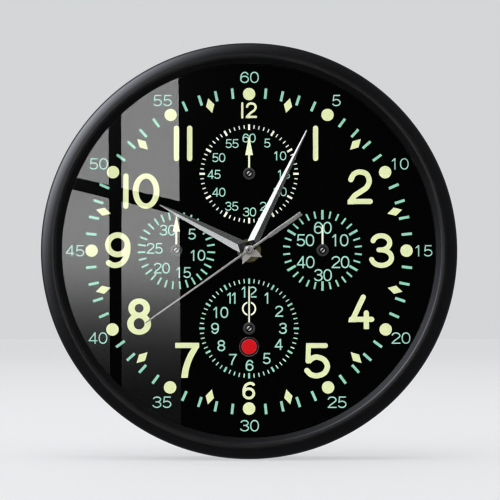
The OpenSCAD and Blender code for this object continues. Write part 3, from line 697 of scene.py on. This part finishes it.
for k, fig in enumerate(hour_strokes()):
    prints["cream" if k < 12 else "straw"].append(drawn(fig))
for k in range(60):
    a = 6 * k
    if k % 5:
        prints["mint"].append([bar(a, 153.5, 163.9, 2.65)])
    else:
        c = turned([(0, 157.5 / SHEET)], a)[0]
        prints["cream"].append([circle(c[0], c[1], 6.2 / SHEET, 56)])
for k in range(12):
    prints["cream"].append([turned([(0, 158.7 / SHEET), (-4.3 / SHEET, 151 / SHEET), (0, 143.3 / SHEET),
                                    (4.3 / SHEET, 151 / SHEET)], 15 + 30 * k)])
for k in range(12):
    a = math.radians(30 * (k + 1))
    prints["figure"].append(figures(str(5 * (k + 1)), 174.6 * math.sin(a) + 0.4, -174.4 * math.cos(a) + 0.1, 11.4, 1.18,
                                    wide=0.77, step=0.87))

UPPER, RIGHT, LEFT, LOWER = (0.0, 56.0), (53.3, 0.25), (-52.8, 0.15), (0.0, -56.4)


def register(centre, items, h, stroke):
    for text, dx, dy in items:
        for_one = figures(text, centre[0] * SHEET + dx, -centre[1] * SHEET + dy, h, stroke)
        prints["figure"].append(for_one)


for k in range(60):
    major = k % 5 == 0
    prints["ivory" if major else "white"].append(
        [bar(6 * k, 44.2, 49.8, 2.1, UPPER)] if major else [bar(6 * k, 45.6, 49.1, 1.05, UPPER)])
    prints["mint" if major else "pale"].append(
        [bar(6 * k, 44.5, 49.8, 1.9, LOWER)] if major else [bar(6 * k, 45.3, 49.3, 1.05, LOWER)])
for k in range(30):
    prints["mint"].append([bar(12 * k, 31, 40.4, 2.4, RIGHT) if k % 5 == 0 else bar(12 * k, 32.5, 39.6, 1.7, RIGHT)])
for k in range(31):
    prints["mint"].append([bar(k * 360 / 31, 31, 38.8, 1.75, LEFT)])

register(UPPER, [("60", 0, -36), ("5", 18.2, -30.9), ("10", 31.3, -18.1), ("15", 35, 0.6), ("20", 31, 18),
                 ("25", 17.5, 32.6), ("30", 0.4, 38.3), ("35", -17.5, 32.6), ("40", -30.3, 18.5), ("45", -35.2, 0.6),
                 ("50", -30.4, -16.3), ("55", -17.1, -30.4)], 9.0, 1.05)
register(RIGHT, [("60", 0.4, -22.6), ("10", 18, -10.1), ("20", 18, 11.8), ("30", 0.4, 24.8), ("40", -16.8, 11.8),
                 ("50", -17, -10.1)], 12.1, 1.36)
register(LEFT, [("5", 15.6, -16.3), ("10", 21.7, 4.9), ("15", 7.3, 22.1), ("20", -14.5, 17.7), ("25", -21.7, -2.1),
                ("30", -8.9, -20.3)], 10.9, 1.32)
register(LOWER, [("12", 0, -36.3), ("1", 17.3, -30.2), ("2", 30, -17.1), ("3", 33.7, 0), ("4", 29.5, 16),
                 ("5", 17.6, 30), ("6", 0.5, 36.9), ("7", -16.1, 31), ("8", -27.7, 17.2), ("9", -34, 0),
                 ("10", -28.2, -15.9), ("11", -17.7, -30.2)], 11.1, 1.38)

for key, groups in prints.items():
    verts, faces = [], []
    for polys in groups:
        pts, tris, _ = union(polys)
        v, f = raised(pts, tris, DIAL - 0.01, DIAL + 0.05)
        faces += [tuple(k + len(verts) for k in face) for face in f]
        verts += v
    sheet_print = dissolve(add("dial_print_" + key, verts, faces, M[key]))
    ride(sheet_print, "case")


# ---------------------------------------------------------------- hands


def plate_piece(name, polys, low, high, mat, holes=(), edge=0.0, segments=2):
    pts, tris, _ = union(polys, holes)
    v, f = raised(pts, tris, low, high)
    ob = dissolve(add(name, v, f, mat))
    if edge:
        soften(ob, edge, segments=segments)
    return ob


def facet_hand(name, angle, tip, sides, ridge_end, bottom, edge, slope, tail, hub, bore, step):
    """Pressed hand: long facets that meet in a ridge, a mirror step at their inner end, a flat middle with a bore
    and a short pointed tail. sides runs from the tip down to the inner corner of the facets as (half width,
    distance from the axis); hub is the half width and distance where the flat middle starts and its apex."""
    heights = {}

    def pt(v, u, h=edge):
        heights[(round(v, 4), round(u, 4))] = h
        return (v, u)

    def width(u):
        for (w0, u0), (w1, u1) in zip(sides, sides[1:]):
            if u1 <= u <= u0:
                return w0 + (w1 - w0) * (u0 - u) / (u0 - u1)
        return sides[-1][0]

    hw, hu, apex = hub
    T = pt(0, tip)
    L, R = [pt(-w, u) for w, u in sides], [pt(w, u) for w, u in sides]
    K = [pt(0, u, edge + slope * w) for w, u in sides[:-1]]
    end = pt(0, ridge_end, edge + slope * width(ridge_end))
    HL, HR, HC = pt(-hw, hu), pt(hw, hu), pt(0, apex)
    regions = [[T, K[0], L[0]], [T, R[0], K[0]]]
    kinds = [0, 0]
    for i in range(len(K) - 1):
        regions += [[L[i], K[i], K[i + 1], L[i + 1]], [K[i], R[i], R[i + 1], K[i + 1]]]
        kinds += [0, 0]
    regions += [[L[-2], K[-1], end, L[-1]], [K[-1], R[-2], R[-1], end], [L[-1], end, HC, HL], [end, R[-1], HR, HC],
                [HL, HC, HR] + list(tail) + [(-v, u) for v, u in reversed(tail) if v]]
    kinds += [0, 0, 1, 1, 2]
    pts, tris, own = union(regions, [circle(0, 0, bore, 48)])
    hs = [heights.get((round(p[0], 4), round(p[1], 4)), edge) for p in pts]
    v, f = raised(turned(pts, angle), tris, bottom, hs)
    mats = [kinds[o] for o in own] + [2] * (len(f) - len(tris))
    return dissolve(add(name, v, f, [M["facet"], M[step], M["satin"]], mats=mats), 0.2)


# The minute hand's step takes the darker copy of the step metal, which is painted shade.
minute = facet_hand("minute_hand_blade", 25.7, 96.7, [(0.5, 96.3), (3.9, 12.5), (3.8, 5.4)], 8.3, 30.9, 31.15, 0.185,
                    [(3.6, 0), (2.9, -4.5), (2.0, -7), (0, -11.3)], (3.65, 1.5, 4.1), 1.76, "step_painted_shade")
ride(minute, "minutes", "minute_hand", slot="hand_aluminium")
minute_collar = lathe("minute_hand_collar", [(1.76, 30.1), (3.25, 30.1), (3.4, 30.25), (3.4, 31.0), (1.76, 31.0)],
                      M["satin"], n=72)
ride(minute_collar, "minutes", slot="hand_aluminium")
minute_eye = lathe("minute_hand_eye", [(1.76, 31.0), (3.15, 31.0), (3.15, 31.35), (3.0, 31.5), (2.15, 31.6),
                                       (2.0, 31.8), (1.85, 31.85), (1.76, 31.75)], M["satin"], n=72)
ride(minute_eye, "minutes", slot="hand_aluminium")

hour = facet_hand("hour_hand_blade", 297.1, 73.1, [(0.3, 72.7), (1.5, 61.5), (4.4, 9.6), (4.4, 5.0)], 9.2, 28.1, 28.3,
                  0.165, [(3.6, -2.5), (2.2, -6), (0, -10.7)], (4.1, 1.0, 3.9), 2.52, "step")
ride(hour, "hours", "hour_hand", slot="hand_aluminium")
hour_collar = lathe("hour_hand_collar", [(2.52, 27.7), (3.45, 27.7), (3.6, 27.85), (3.6, 28.35), (3.4, 28.55),
                                         (2.52, 28.6)], M["satin"], n=72)
ride(hour_collar, "hours", slot="hand_aluminium")

S0 = 33.9


def rod(name, stations, angle, low, high, chamfer, drop, mat, at=(0, 0)):
    """Straight hand with chamfered long edges. stations run along it as (distance, half width)."""
    section = ((-1, 0, low), (1, 0, low), (1, 0, high - drop), (1, -chamfer, high), (-1, chamfer, high),
               (-1, 0, high - drop))
    verts, faces = [], []
    for u, w in stations:
        for side, inset, d in section:
            v = side * w + inset if w > 1.5 * chamfer else side * w * (0.5 if inset else 1)
            x, z = turned([(v, u)], angle, at)[0]
            verts.append(P(x, z, d))
    n = len(section)
    for i in range(len(stations) - 1):
        for k in range(n):
            j = (k + 1) % n
            faces.append((i * n + k, i * n + j, (i + 1) * n + j, (i + 1) * n + k))
    faces.append(tuple(reversed(range(n))))
    faces.append(tuple(range((len(stations) - 1) * n, len(stations) * n)))
    return add(name, verts, faces, mat)


def joined(first, *others):
    with bpy.context.temp_override(active_object=first, selected_editable_objects=[first, *others]):
        bpy.ops.object.join()
    return first


second = joined(
    lathe("second_hand_rod", [(1.0, S0), (2.5, S0), (2.6, S0 + 0.1), (2.6, S0 + 0.38), (2.48, S0 + 0.5), (1.0, S0 + 0.5)],
          M["rod"], n=72),
    rod("blade", [(1.6, 0.82), (60, 0.6), (90.3, 0.45), (91.3, 0.12)], 234.9, S0, S0 + 0.5, 0.22, 0.11, M["rod"]),
    rod("tail", [(-46, 1.45), (-45.8, 1.6), (-18, 1.6), (-16.8, 0.95), (-1.6, 0.9)], 234.9, S0, S0 + 0.5, 0.3, 0.15, M["rod"]))
ride(second, "seconds", "second_hand", slot="second_aluminium")
# The bottom of the rivet's hole is near-black painted shade; the outer bevel is a burnished rim.
boss = lathe("second_hand_rivet", [(0.5, 32.3), (1.5, 32.3), (1.6, 32.4), (1.6, 33.9), (1.0, 33.9), (1.0, 34.4),
                                   (2.5, 34.4), (2.6, 34.5), (2.6, 34.66), (2.05, 34.94), (1.95, 34.99),
                                   (1.8, 35.0), (1.68, 34.96), (1.38, 34.64), (1.1, 34.6), (0.98, 34.5),
                                   (0.82, 34.3), (0.5, 34.25)],
             [M["rivet"], M["well"], M["rim"]], n=72, smooth=20, bands=[0] * 7 + [2, 2] + [0] * 6 + [1, 1, 0])
ride(boss, "seconds", "second_hand_boss", slot="second_aluminium")


def arrow(name, body, node, centre, shaft, neck, head, tip, z, mat):
    ob = plate_piece(name, [turned(p, 0, centre) for p in (
        [(-shaft / 2, 0), (shaft / 2, 0), (shaft / 2, neck + 0.2), (-shaft / 2, neck + 0.2)],
        [(-head / 2, neck), (head / 2, neck), (0, tip)], circle(0, 0, 3, 48))],
        z, z + 0.4, mat, [circle(centre[0], centre[1], 0.86, 32)], edge=0.07, segments=1)
    return ride(ob, body, node, slot="hand_cream")


def needle(name, body, node, centre, w, tip, z, mat):
    ob = plate_piece(name, [turned(p, 0, centre) for p in (
        [(-w / 2, 0), (w / 2, 0), (w / 2, tip * 0.85), (w / 3, tip), (-w / 3, tip), (-w / 2, tip * 0.85)],
        circle(0, 0, 3, 48))], z, z + 0.4, mat, [circle(centre[0], centre[1], 0.86, 32)], edge=0.07, segments=1)
    return ride(ob, body, node, slot="hand_cream")


R0 = 24.7
arrow("upper_register_arrow", "upper_register", "upper_register_hand", UPPER, 1.4, 13.5, 5.6, 28.1, R0, M["lacquer"])
arrow("left_register_arrow", "left_register", "left_register_hand", LEFT, 1.4, 13.6, 5.3, 25.4, R0, M["lacquer"])
needle("right_register_pointer", "right_register", "right_register_hand", RIGHT, 1.4, 18.5, R0, M["lacquer_pale"])
needle("lower_register_pointer", "lower_needle", "lower_register_needle", LOWER, 1.05, 30.6, 25.0, M["lacquer_pale"])
ringed = plate_piece("lower_register_ring_pointer", [turned(p, 0, LOWER) for p in (
    [(-0.6, 0), (0.6, 0), (0.6, 9.7), (-0.6, 9.7)], circle(0, 14.3, 5.15, 72), circle(0, 0, 3, 48))],
    24.3, 24.6, M["lacquer_pale"], [circle(LOWER[0], LOWER[1], 0.86, 32), circle(LOWER[0], LOWER[1] + 14.3, 3.97, 64)],
    edge=0.06, segments=1)
ride(ringed, "lower_ring", "lower_register_ring_hand", slot="hand_cream")
# A near-black plate a little wider than the needle lies under it and shows as a dark border along the needle, plainest
# where it crosses the cream ring.
backing = plate_piece("lower_register_needle_dark_backing", [turned(p, 0, LOWER) for p in (
    [(-1.2, 3.5), (1.2, 3.5), (1.2, 24), (0.9, 29.6), (-0.9, 29.6), (-1.2, 24)],)], 24.75, 25.04, M["well"])
ride(backing, "lower_needle", slot="hub_grey")


def hub(name, body, node, centre, z):
    """Turned cap with a rounded rim, a fine groove and a shallow seat round the pin; the seat's floor and inner wall
    carry near-black painted shade.
    """
    prof = [(0.86, z), (4.2, z), (4.36, z + 0.12), (4.4, z + 0.3), (4.3, z + 0.55), (4.05, z + 0.74), (3.7, z + 0.82),
            (3.5, z + 0.83), (3.44, z + 0.7), (3.3, z + 0.7), (3.24, z + 0.85), (2.85, z + 0.9), (2.72, z + 0.84),
            (2.6, z + 0.4), (0.86, z + 0.4)]
    bands = [0] * 11 + [1, 1, 1, 0]
    return ride(lathe(name, prof, [M["hub"], M["well"]], centre, n=80, smooth=26, bands=bands), body, node,
                slot="hub_grey")


hub("upper_register_cap", "upper_register", "upper_register_hub", UPPER, R0 + 0.4)
hub("right_register_cap", "right_register", "right_register_hub", RIGHT, R0 + 0.4)
hub("left_register_cap", "left_register", "left_register_hub", LEFT, R0 + 0.4)
hub("lower_register_cap", "lower_needle", "lower_register_hub", LOWER, 25.4)


# ---------------------------------------------------------------- red indicator

IX, IZ = 0.0, -69.7
# The rounded rim of the disc carries the paler red of a painted highlight.
disc = lathe("indicator_disc_enamel", [(0, 21.9), (2, 21.9), (2, 23.3), (5.35, 23.3), (5.5, 23.42), (5.5, 23.6),
                                       (5.38, 23.76), (5.12, 23.84), (3.4, 23.94), (0, 24.0)], [M["red"], M["red_edge"]],
             (IX, IZ), n=96, smooth=40, bands=[0, 0, 0, 0, 1, 1, 1, 0, 0, 0])
ride(disc, "case", "indicator_disc", slot="indicator_red")
# The floor and inner wall of the gap round the disc are near-black painted shade.
collar = lathe("indicator_collar_ring", [(5.65, 23.3), (7.15, 23.3), (7.25, 23.4), (7.25, 23.66), (7.2, 23.86),
                                         (7.13, 23.9), (7.06, 23.9), (6.52, 23.45), (5.65, 23.45)],
               [M["collar"], M["well"]], (IX, IZ), n=96, smooth=20, bands=[1, 0, 0, 0, 0, 0, 0, 1, 1])
ride(collar, "case", "indicator_collar", slot="collar_grey")


# ---------------------------------------------------------------- finishes of the CAD pieces

finish_of = {
    "lens_gasket": "foam", "spacer_ring": "spacer", "dial_plate": "dial", "register_pins": "pin_head", "back_cover": "cover", "dial_clamp_ring": "cover",
    "back_cover_screws": "steel", "hanger_plate": "hanger", "hanger_screws": "steel",
    "movement_front_case": "movement", "movement_rear_case": "movement", "rubber_washer": "rubber",
    "nut_washer": "brass", "centre_nut": "brass", "circuit_board": "board", "quartz_crystal": "steel",
    "timing_chip": "chip", "coil_bobbin": "nylon", "coil_winding": "copper", "coil_core": "steel", "stator": "steel",
    "battery_positive_contact": "nickel", "battery_negative_contact": "nickel", "battery": "cell",
    "rotor_magnet": "magnet", "rotor_pinion": "nylon", "fifth_wheel": "nylon", "seconds_wheel": "nylon",
    "seconds_arbor": "steel", "third_wheel": "nylon", "centre_wheel": "wheel_brass", "cannon_pinion": "wheel_brass",
    "minute_wheel": "nylon", "setting_knob": "knob", "hour_wheel": "nylon",
}
for node, key in finish_of.items():
    me = cad[node].data
    me.materials.clear()
    me.materials.append(M[key])


nut_edge = cad["centre_nut"].modifiers.new("edge", "BEVEL")
nut_edge.width = 0.45 * MM
nut_edge.segments = 2
nut_edge.limit_method = "ANGLE"
nut_edge.angle_limit = math.radians(40)
flange = lathe("centre_nut_flange", [(4.1, 23.82), (8.5, 23.82), (8.66, 23.95), (8.66, 24.2), (8.5, 24.36),
                                     (8.0, 24.48), (4.1, 24.48)], M["nut_rim"], n=96, smooth=24)
ride(flange, "case", slot="nut_brass")


# ---------------------------------------------------------------- stage, lamps and camera


def stage_material(name, color, rough=0.9):
    m = material(name, color, rough, spec=0.2, vary=0.015, rough_vary=0.03, patch=6)
    return m


floor_mat = stage_material("floor_pale", (0.3, 0.3, 0.3))
floor_bsdf = next(n for n in floor_mat.node_tree.nodes if n.type == "BSDF_PRINCIPLED")
floor_bsdf.inputs["Emission Color"].default_value = (0.97, 0.98, 1, 1)
floor_bsdf.inputs["Emission Strength"].default_value = 0.56
floor = add("floor", [(-9, -9, -0.1504), (9, -9, -0.1504), (9, 9, -0.1504), (-9, 9, -0.1504)], [(0, 1, 2, 3)],
            floor_mat)
floor.visible_glossy = floor.visible_transmission = floor.visible_diffuse = False

ROOM = 0.3             # brightness of the room to the sides of the clock and behind it

world = bpy.data.worlds.new("studio")
scene.world = world
world.use_nodes = True
wn = world.node_tree
wn.nodes.clear()
w_out = wn.nodes.new("ShaderNodeOutputWorld")
w_path = wn.nodes.new("ShaderNodeLightPath")
w_dim = wn.nodes.new("ShaderNodeBackground")
w_dim.inputs["Color"].default_value = (1, 1, 1, 1)
w_co = wn.nodes.new("ShaderNodeTexCoord")
w_sep = wn.nodes.new("ShaderNodeSeparateXYZ")
w_range = wn.nodes.new("ShaderNodeMapRange")
w_range.interpolation_type = "SMOOTHSTEP"
w_range.inputs["From Min"].default_value = -0.87
w_range.inputs["From Max"].default_value = -0.66
w_range.inputs["To Min"].default_value = 0.012
w_range.inputs["To Max"].default_value = ROOM
wn.links.new(w_co.outputs["Generated"], w_sep.inputs["Vector"])
wn.links.new(w_sep.outputs["Y"], w_range.inputs["Value"])
w_rise = wn.nodes.new("ShaderNodeMapRange")
w_rise.inputs["From Min"].default_value = -0.45
w_rise.inputs["From Max"].default_value = 0.85
w_rise.inputs["To Min"].default_value = 0.2
w_rise.inputs["To Max"].default_value = 1.8
w_both = wn.nodes.new("ShaderNodeMath")
w_both.operation = "MULTIPLY"
wn.links.new(w_sep.outputs["Z"], w_rise.inputs["Value"])
wn.links.new(w_range.outputs["Result"], w_both.inputs[0])
wn.links.new(w_rise.outputs["Result"], w_both.inputs[1])
wn.links.new(w_both.outputs["Value"], w_dim.inputs["Strength"])
w_pale = wn.nodes.new("ShaderNodeBackground")
w_pale.inputs["Color"].default_value = (0.66, 0.67, 0.68, 1)
w_pale.inputs["Strength"].default_value = 1.0
w_mix = wn.nodes.new("ShaderNodeMixShader")
wn.links.new(w_path.outputs["Is Camera Ray"], w_mix.inputs["Fac"])
wn.links.new(w_dim.outputs["Background"], w_mix.inputs[1])
wn.links.new(w_pale.outputs["Background"], w_mix.inputs[2])
wn.links.new(w_mix.outputs["Shader"], w_out.inputs["Surface"])

TARGET = Vector((0, -0.030, 0))


def lamp(name, loc, size, power, size_y=None, aim=TARGET, color=(1, 1, 1), glossy=True, spread=180):
    ld = bpy.data.lights.new(name, "AREA")
    ld.shape = "RECTANGLE"
    ld.size, ld.size_y = size, size_y or size
    ld.energy = power
    ld.color = color
    ld.spread = math.radians(spread)
    ob = bpy.data.objects.new(name, ld)
    scene.collection.objects.link(ob)
    ob.location = loc
    ob.rotation_mode = "QUATERNION"
    ob.rotation_quaternion = (Vector(aim) - Vector(loc)).to_track_quat("-Z", "Y")
    ob.visible_camera = False
    ob.visible_glossy = ob.visible_transmission = glossy
    return ob


front_light = lamp("front_light", (0, -2.9, 0.1), 1.5, 152, 1.5, glossy=False)


def card(name, x0, x1, z0, z1, y, level):
    """Lit card that only the shiny pieces mirror; x and z in metres, level is its brightness."""
    ob = add(name, [(x0, y, z0), (x1, y, z0), (x1, y, z1), (x0, y, z1)], [(3, 2, 1, 0)],
             bpy.data.materials.new(name))
    m = ob.data.materials[0]
    m.use_nodes = True
    nt = m.node_tree
    nt.nodes.clear()
    out = nt.nodes.new("ShaderNodeOutputMaterial")
    em = nt.nodes.new("ShaderNodeEmission")
    em.inputs["Color"].default_value = (1, 1, 1, 1)
    em.inputs["Strength"].default_value = level
    nt.links.new(em.outputs["Emission"], out.inputs["Surface"])
    ob.visible_camera = ob.visible_diffuse = ob.visible_shadow = False
    return ob


# directions as the hands mirror them, on a plane 1.5 m in front
card("card_left", -0.62, -0.33, 0.02, 0.62, -1.5, 1.3)
card("card_lower_left", -0.5, -0.05, -0.6, -0.24, -1.5, 0.72)
card("card_right", 0.31, 0.9, -0.5, 0.39, -1.5, 0.055)
card("card_above", 0.02, 0.7, 0.39, 0.95, -1.5, 0.095)


def edge_card(azimuth, off, size, level, distance=2.4):
    """Lit card seen only by the bright edges of the pieces behind the glass. azimuth is clockwise from the top and
    off is the angle from straight ahead."""
    a, o = math.radians(azimuth), math.radians(off)
    toward = Vector((math.sin(o) * math.sin(a), -math.cos(o), math.sin(o) * math.cos(a)))
    u = toward.cross(Vector((0, 0, 1))).normalized()
    v = toward.cross(u)
    mid = toward * distance
    ob = add("edge_card", [mid + (u * i + v * k) * size / 2 for i, k in ((-1, -1), (1, -1), (1, 1), (-1, 1))],
             [(0, 1, 2, 3)], bpy.data.materials.new("edge_card"))
    m = ob.data.materials[0]
    m.use_nodes = True
    nt = m.node_tree
    nt.nodes.clear()
    out = nt.nodes.new("ShaderNodeOutputMaterial")
    em = nt.nodes.new("ShaderNodeEmission")
    em.inputs["Color"].default_value = (1, 1, 1, 1)
    em.inputs["Strength"].default_value = level
    nt.links.new(em.outputs["Emission"], out.inputs["Surface"])
    ob.visible_camera = ob.visible_diffuse = ob.visible_shadow = ob.visible_glossy = False
    return ob


edge_card(322, 52, 1.0, 4.5)


def dome(azimuth, level, behind, radius=3.2):
    """Dark dome that only shiny surfaces mirror. It glows to one side of the clock, most strongly abreast of it and
    less towards the front, and a little behind it."""
    verts, faces = [(0, 0, radius)], []
    rows, cols = 32, 64
    for i in range(1, rows):
        for k in range(cols):
            t, a = math.pi * i / rows, 2 * math.pi * k / cols
            verts.append((radius * math.sin(t) * math.cos(a), radius * math.sin(t) * math.sin(a), radius * math.cos(t)))
    verts.append((0, 0, -radius))
    last = len(verts) - 1
    for k in range(cols):
        j = (k + 1) % cols
        faces.append((0, 1 + k, 1 + j))
        faces.append((last, last - cols + j, last - cols + k))
        for i in range(rows - 2):
            a, b = 1 + i * cols, 1 + (i + 1) * cols
            faces.append((a + k, b + k, b + j, a + j))
    ob = add("studio_dome", verts, faces, bpy.data.materials.new("studio_dome"))
    m = ob.data.materials[0]
    m.use_nodes = True
    nt = m.node_tree
    nt.nodes.clear()
    out = nt.nodes.new("ShaderNodeOutputMaterial")
    em = nt.nodes.new("ShaderNodeEmission")
    em.inputs["Color"].default_value = (0.94, 0.975, 1.07, 1)
    co = nt.nodes.new("ShaderNodeTexCoord")
    sep = nt.nodes.new("ShaderNodeSeparateXYZ")
    nrm = nt.nodes.new("ShaderNodeVectorMath")
    nrm.operation = "NORMALIZE"
    nt.links.new(co.outputs["Object"], nrm.inputs[0])
    nt.links.new(nrm.outputs["Vector"], sep.inputs["Vector"])

    def calc(op, a, b=None):
        n = nt.nodes.new("ShaderNodeMath")
        n.operation = op
        for i, v in enumerate((a, b)):
            if isinstance(v, (int, float)):
                n.inputs[i].default_value = v
            elif v is not None:
                nt.links.new(v, n.inputs[i])
        return n.outputs[0]

    def step(v, lo, hi, top):
        n = nt.nodes.new("ShaderNodeMapRange")
        n.interpolation_type = "SMOOTHSTEP"
        n.inputs["From Min"].default_value = lo
        n.inputs["From Max"].default_value = hi
        n.inputs["To Max"].default_value = top
        nt.links.new(v, n.inputs["Value"])
        return n.outputs["Result"]

    x, y, z = sep.outputs
    off = calc("ARCCOSINE", calc("MULTIPLY", y, -1.0))
    flat = calc("SQRT", calc("MAXIMUM", calc("SUBTRACT", 1.0, calc("MULTIPLY", y, y)), 1e-4))
    tx, tz = math.sin(math.radians(azimuth)), math.cos(math.radians(azimuth))
    along = calc("DIVIDE", calc("ADD", calc("MULTIPLY", x, tx), calc("MULTIPLY", z, tz)), flat)
    side = calc("POWER", calc("MAXIMUM", along, 0.0), 6.0)
    rise = step(off, math.radians(5), math.radians(80), level)
    fall = calc("SUBTRACT", 1.0, step(off, math.radians(98), math.radians(128), 1.0))
    glow = calc("MULTIPLY", calc("MULTIPLY", rise, fall), side)
    room = calc("ADD", step(y, 0.7, 0.97, behind), step(y, -0.86, -0.6, 0.3 * ROOM))
    nt.links.new(calc("ADD", calc("ADD", glow, room), 0.008), em.inputs["Strength"])
    nt.links.new(em.outputs["Emission"], out.inputs["Surface"])
    ob.visible_camera = ob.visible_diffuse = ob.visible_shadow = ob.visible_transmission = False
    return ob


dome(308, 7.8, 0.34)
back_light = lamp("back_light", (0.7, 2.6, 1.3), 1.6, 100, 1.6, glossy=False)
skip_floor = bpy.data.collections.new("floor_only_lit_from_above")
skip_floor.objects.link(floor)
front_light.light_linking.receiver_collection = back_light.light_linking.receiver_collection = skip_floor
skip_floor.collection_objects[0].light_linking.link_state = "EXCLUDE"
lamp("top_light", (0, -0.4, 2.4), 1.6, 24, 1.6, aim=(0, 0, 0), glossy=False)


def window_panel():
    """Bright window that the flat glass mirrors on its left side, with a post and a slanted rail across it."""
    y = -0.039 - 1.5
    k = 1 + 1.5 / 1.1955
    zc = 0.0523 * 1.5 / 1.1955

    def q(px, py):
        return (px * MM * k, py * MM * k + zc)

    top, bottom = 150, -150
    left_pane = [q(-150, top), q(-150, bottom), q(-98.9, bottom), q(-101.9, top)]
    right_pane = [q(-92.3, top), q(-90.9, bottom), q(-48.4, bottom), q(-51.2, top)]
    rail = [q(-150, 58), q(-150, 49), q(-40, 22.6), q(-40, 33)]
    polys = [[(p[0], p[1]) for p in poly] for poly in (left_pane, right_pane)]
    pts, tris, _ = union([[(a * 1000, b * 1000) for a, b in poly] for poly in polys],
                         [[(a * 1000, b * 1000) for a, b in rail]])
    verts = [(p[0] / 1000, y, p[1] / 1000) for p in pts]
    ob = add("window_panel", verts, [tuple(t) for t in tris], None or bpy.data.materials.new("window_light"))
    m = ob.data.materials[0]
    m.use_nodes = True
    nt = m.node_tree
    nt.nodes.clear()
    out = nt.nodes.new("ShaderNodeOutputMaterial")
    em = nt.nodes.new("ShaderNodeEmission")
    co = nt.nodes.new("ShaderNodeTexCoord")
    sep = nt.nodes.new("ShaderNodeSeparateXYZ")
    mr = nt.nodes.new("ShaderNodeMapRange")
    ramp = nt.nodes.new("ShaderNodeValToRGB")
    nt.links.new(co.outputs["Object"], sep.inputs["Vector"])
    nt.links.new(sep.outputs["Z"], mr.inputs["Value"])
    mr.inputs["From Min"].default_value = -0.26
    mr.inputs["From Max"].default_value = 0.14
    stops = [(-0.26, 0.018), (-0.191, 0.024), (-0.159, 0.030), (-0.127, 0.054), (-0.0945, 0.093), (-0.062, 0.185),
             (-0.030, 0.338), (0.0025, 0.588), (0.035, 0.838), (0.067, 0.985), (0.14, 1.0)]
    els = ramp.color_ramp.elements
    els[0].position, els[0].color = 0.0, (stops[0][1],) * 3 + (1,)
    els[1].position, els[1].color = 1.0, (1, 1, 1, 1)
    for z, val in stops[1:-1]:
        e = els.new((z + 0.26) / 0.4)
        e.color = (val, val, val, 1)
    nt.links.new(mr.outputs["Result"], ramp.inputs["Fac"])
    nt.links.new(ramp.outputs["Color"], em.inputs["Color"])
    em.inputs["Strength"].default_value = 2.85
    nt.links.new(em.outputs["Emission"], out.inputs["Surface"])
    ob.visible_camera = False
    ob.visible_diffuse = False
    ob.visible_shadow = False
    return ob


window_panel()

cam_data = bpy.data.cameras.new("camera")
cam = bpy.data.objects.new("camera", cam_data)
scene.collection.objects.link(cam)
scene.camera = cam
cam_data.sensor_width = 36
cam_data.lens = 120
cam_data.clip_start, cam_data.clip_end = 0.05, 30
elev = math.radians(-2.5)
aim = Vector((0.00066, -0.030, 0.00022))
cam.location = Vector((0.0, -0.030 - 1.2048 * math.cos(elev), 1.2048 * math.sin(elev)))
cam.rotation_mode = "QUATERNION"
cam.rotation_quaternion = (aim - cam.location).to_track_quat("-Z", "Y")

scene.view_settings.view_transform = "Standard"
scene.view_settings.look = "None"
scene.view_settings.exposure = 0
scene.view_settings.gamma = 1
cy = scene.cycles
cy.filter_width = 1.25
cy.use_denoising = True
cy.denoiser = "OPENIMAGEDENOISE"
cy.denoising_input_passes = "RGB_ALBEDO_NORMAL"
cy.denoising_prefilter = "ACCURATE"
cy.max_bounces = 14
cy.transmission_bounces = 12
cy.transparent_max_bounces = 16
cy.caustics_reflective = False
cy.caustics_refractive = False
cy.sample_clamp_indirect = 8
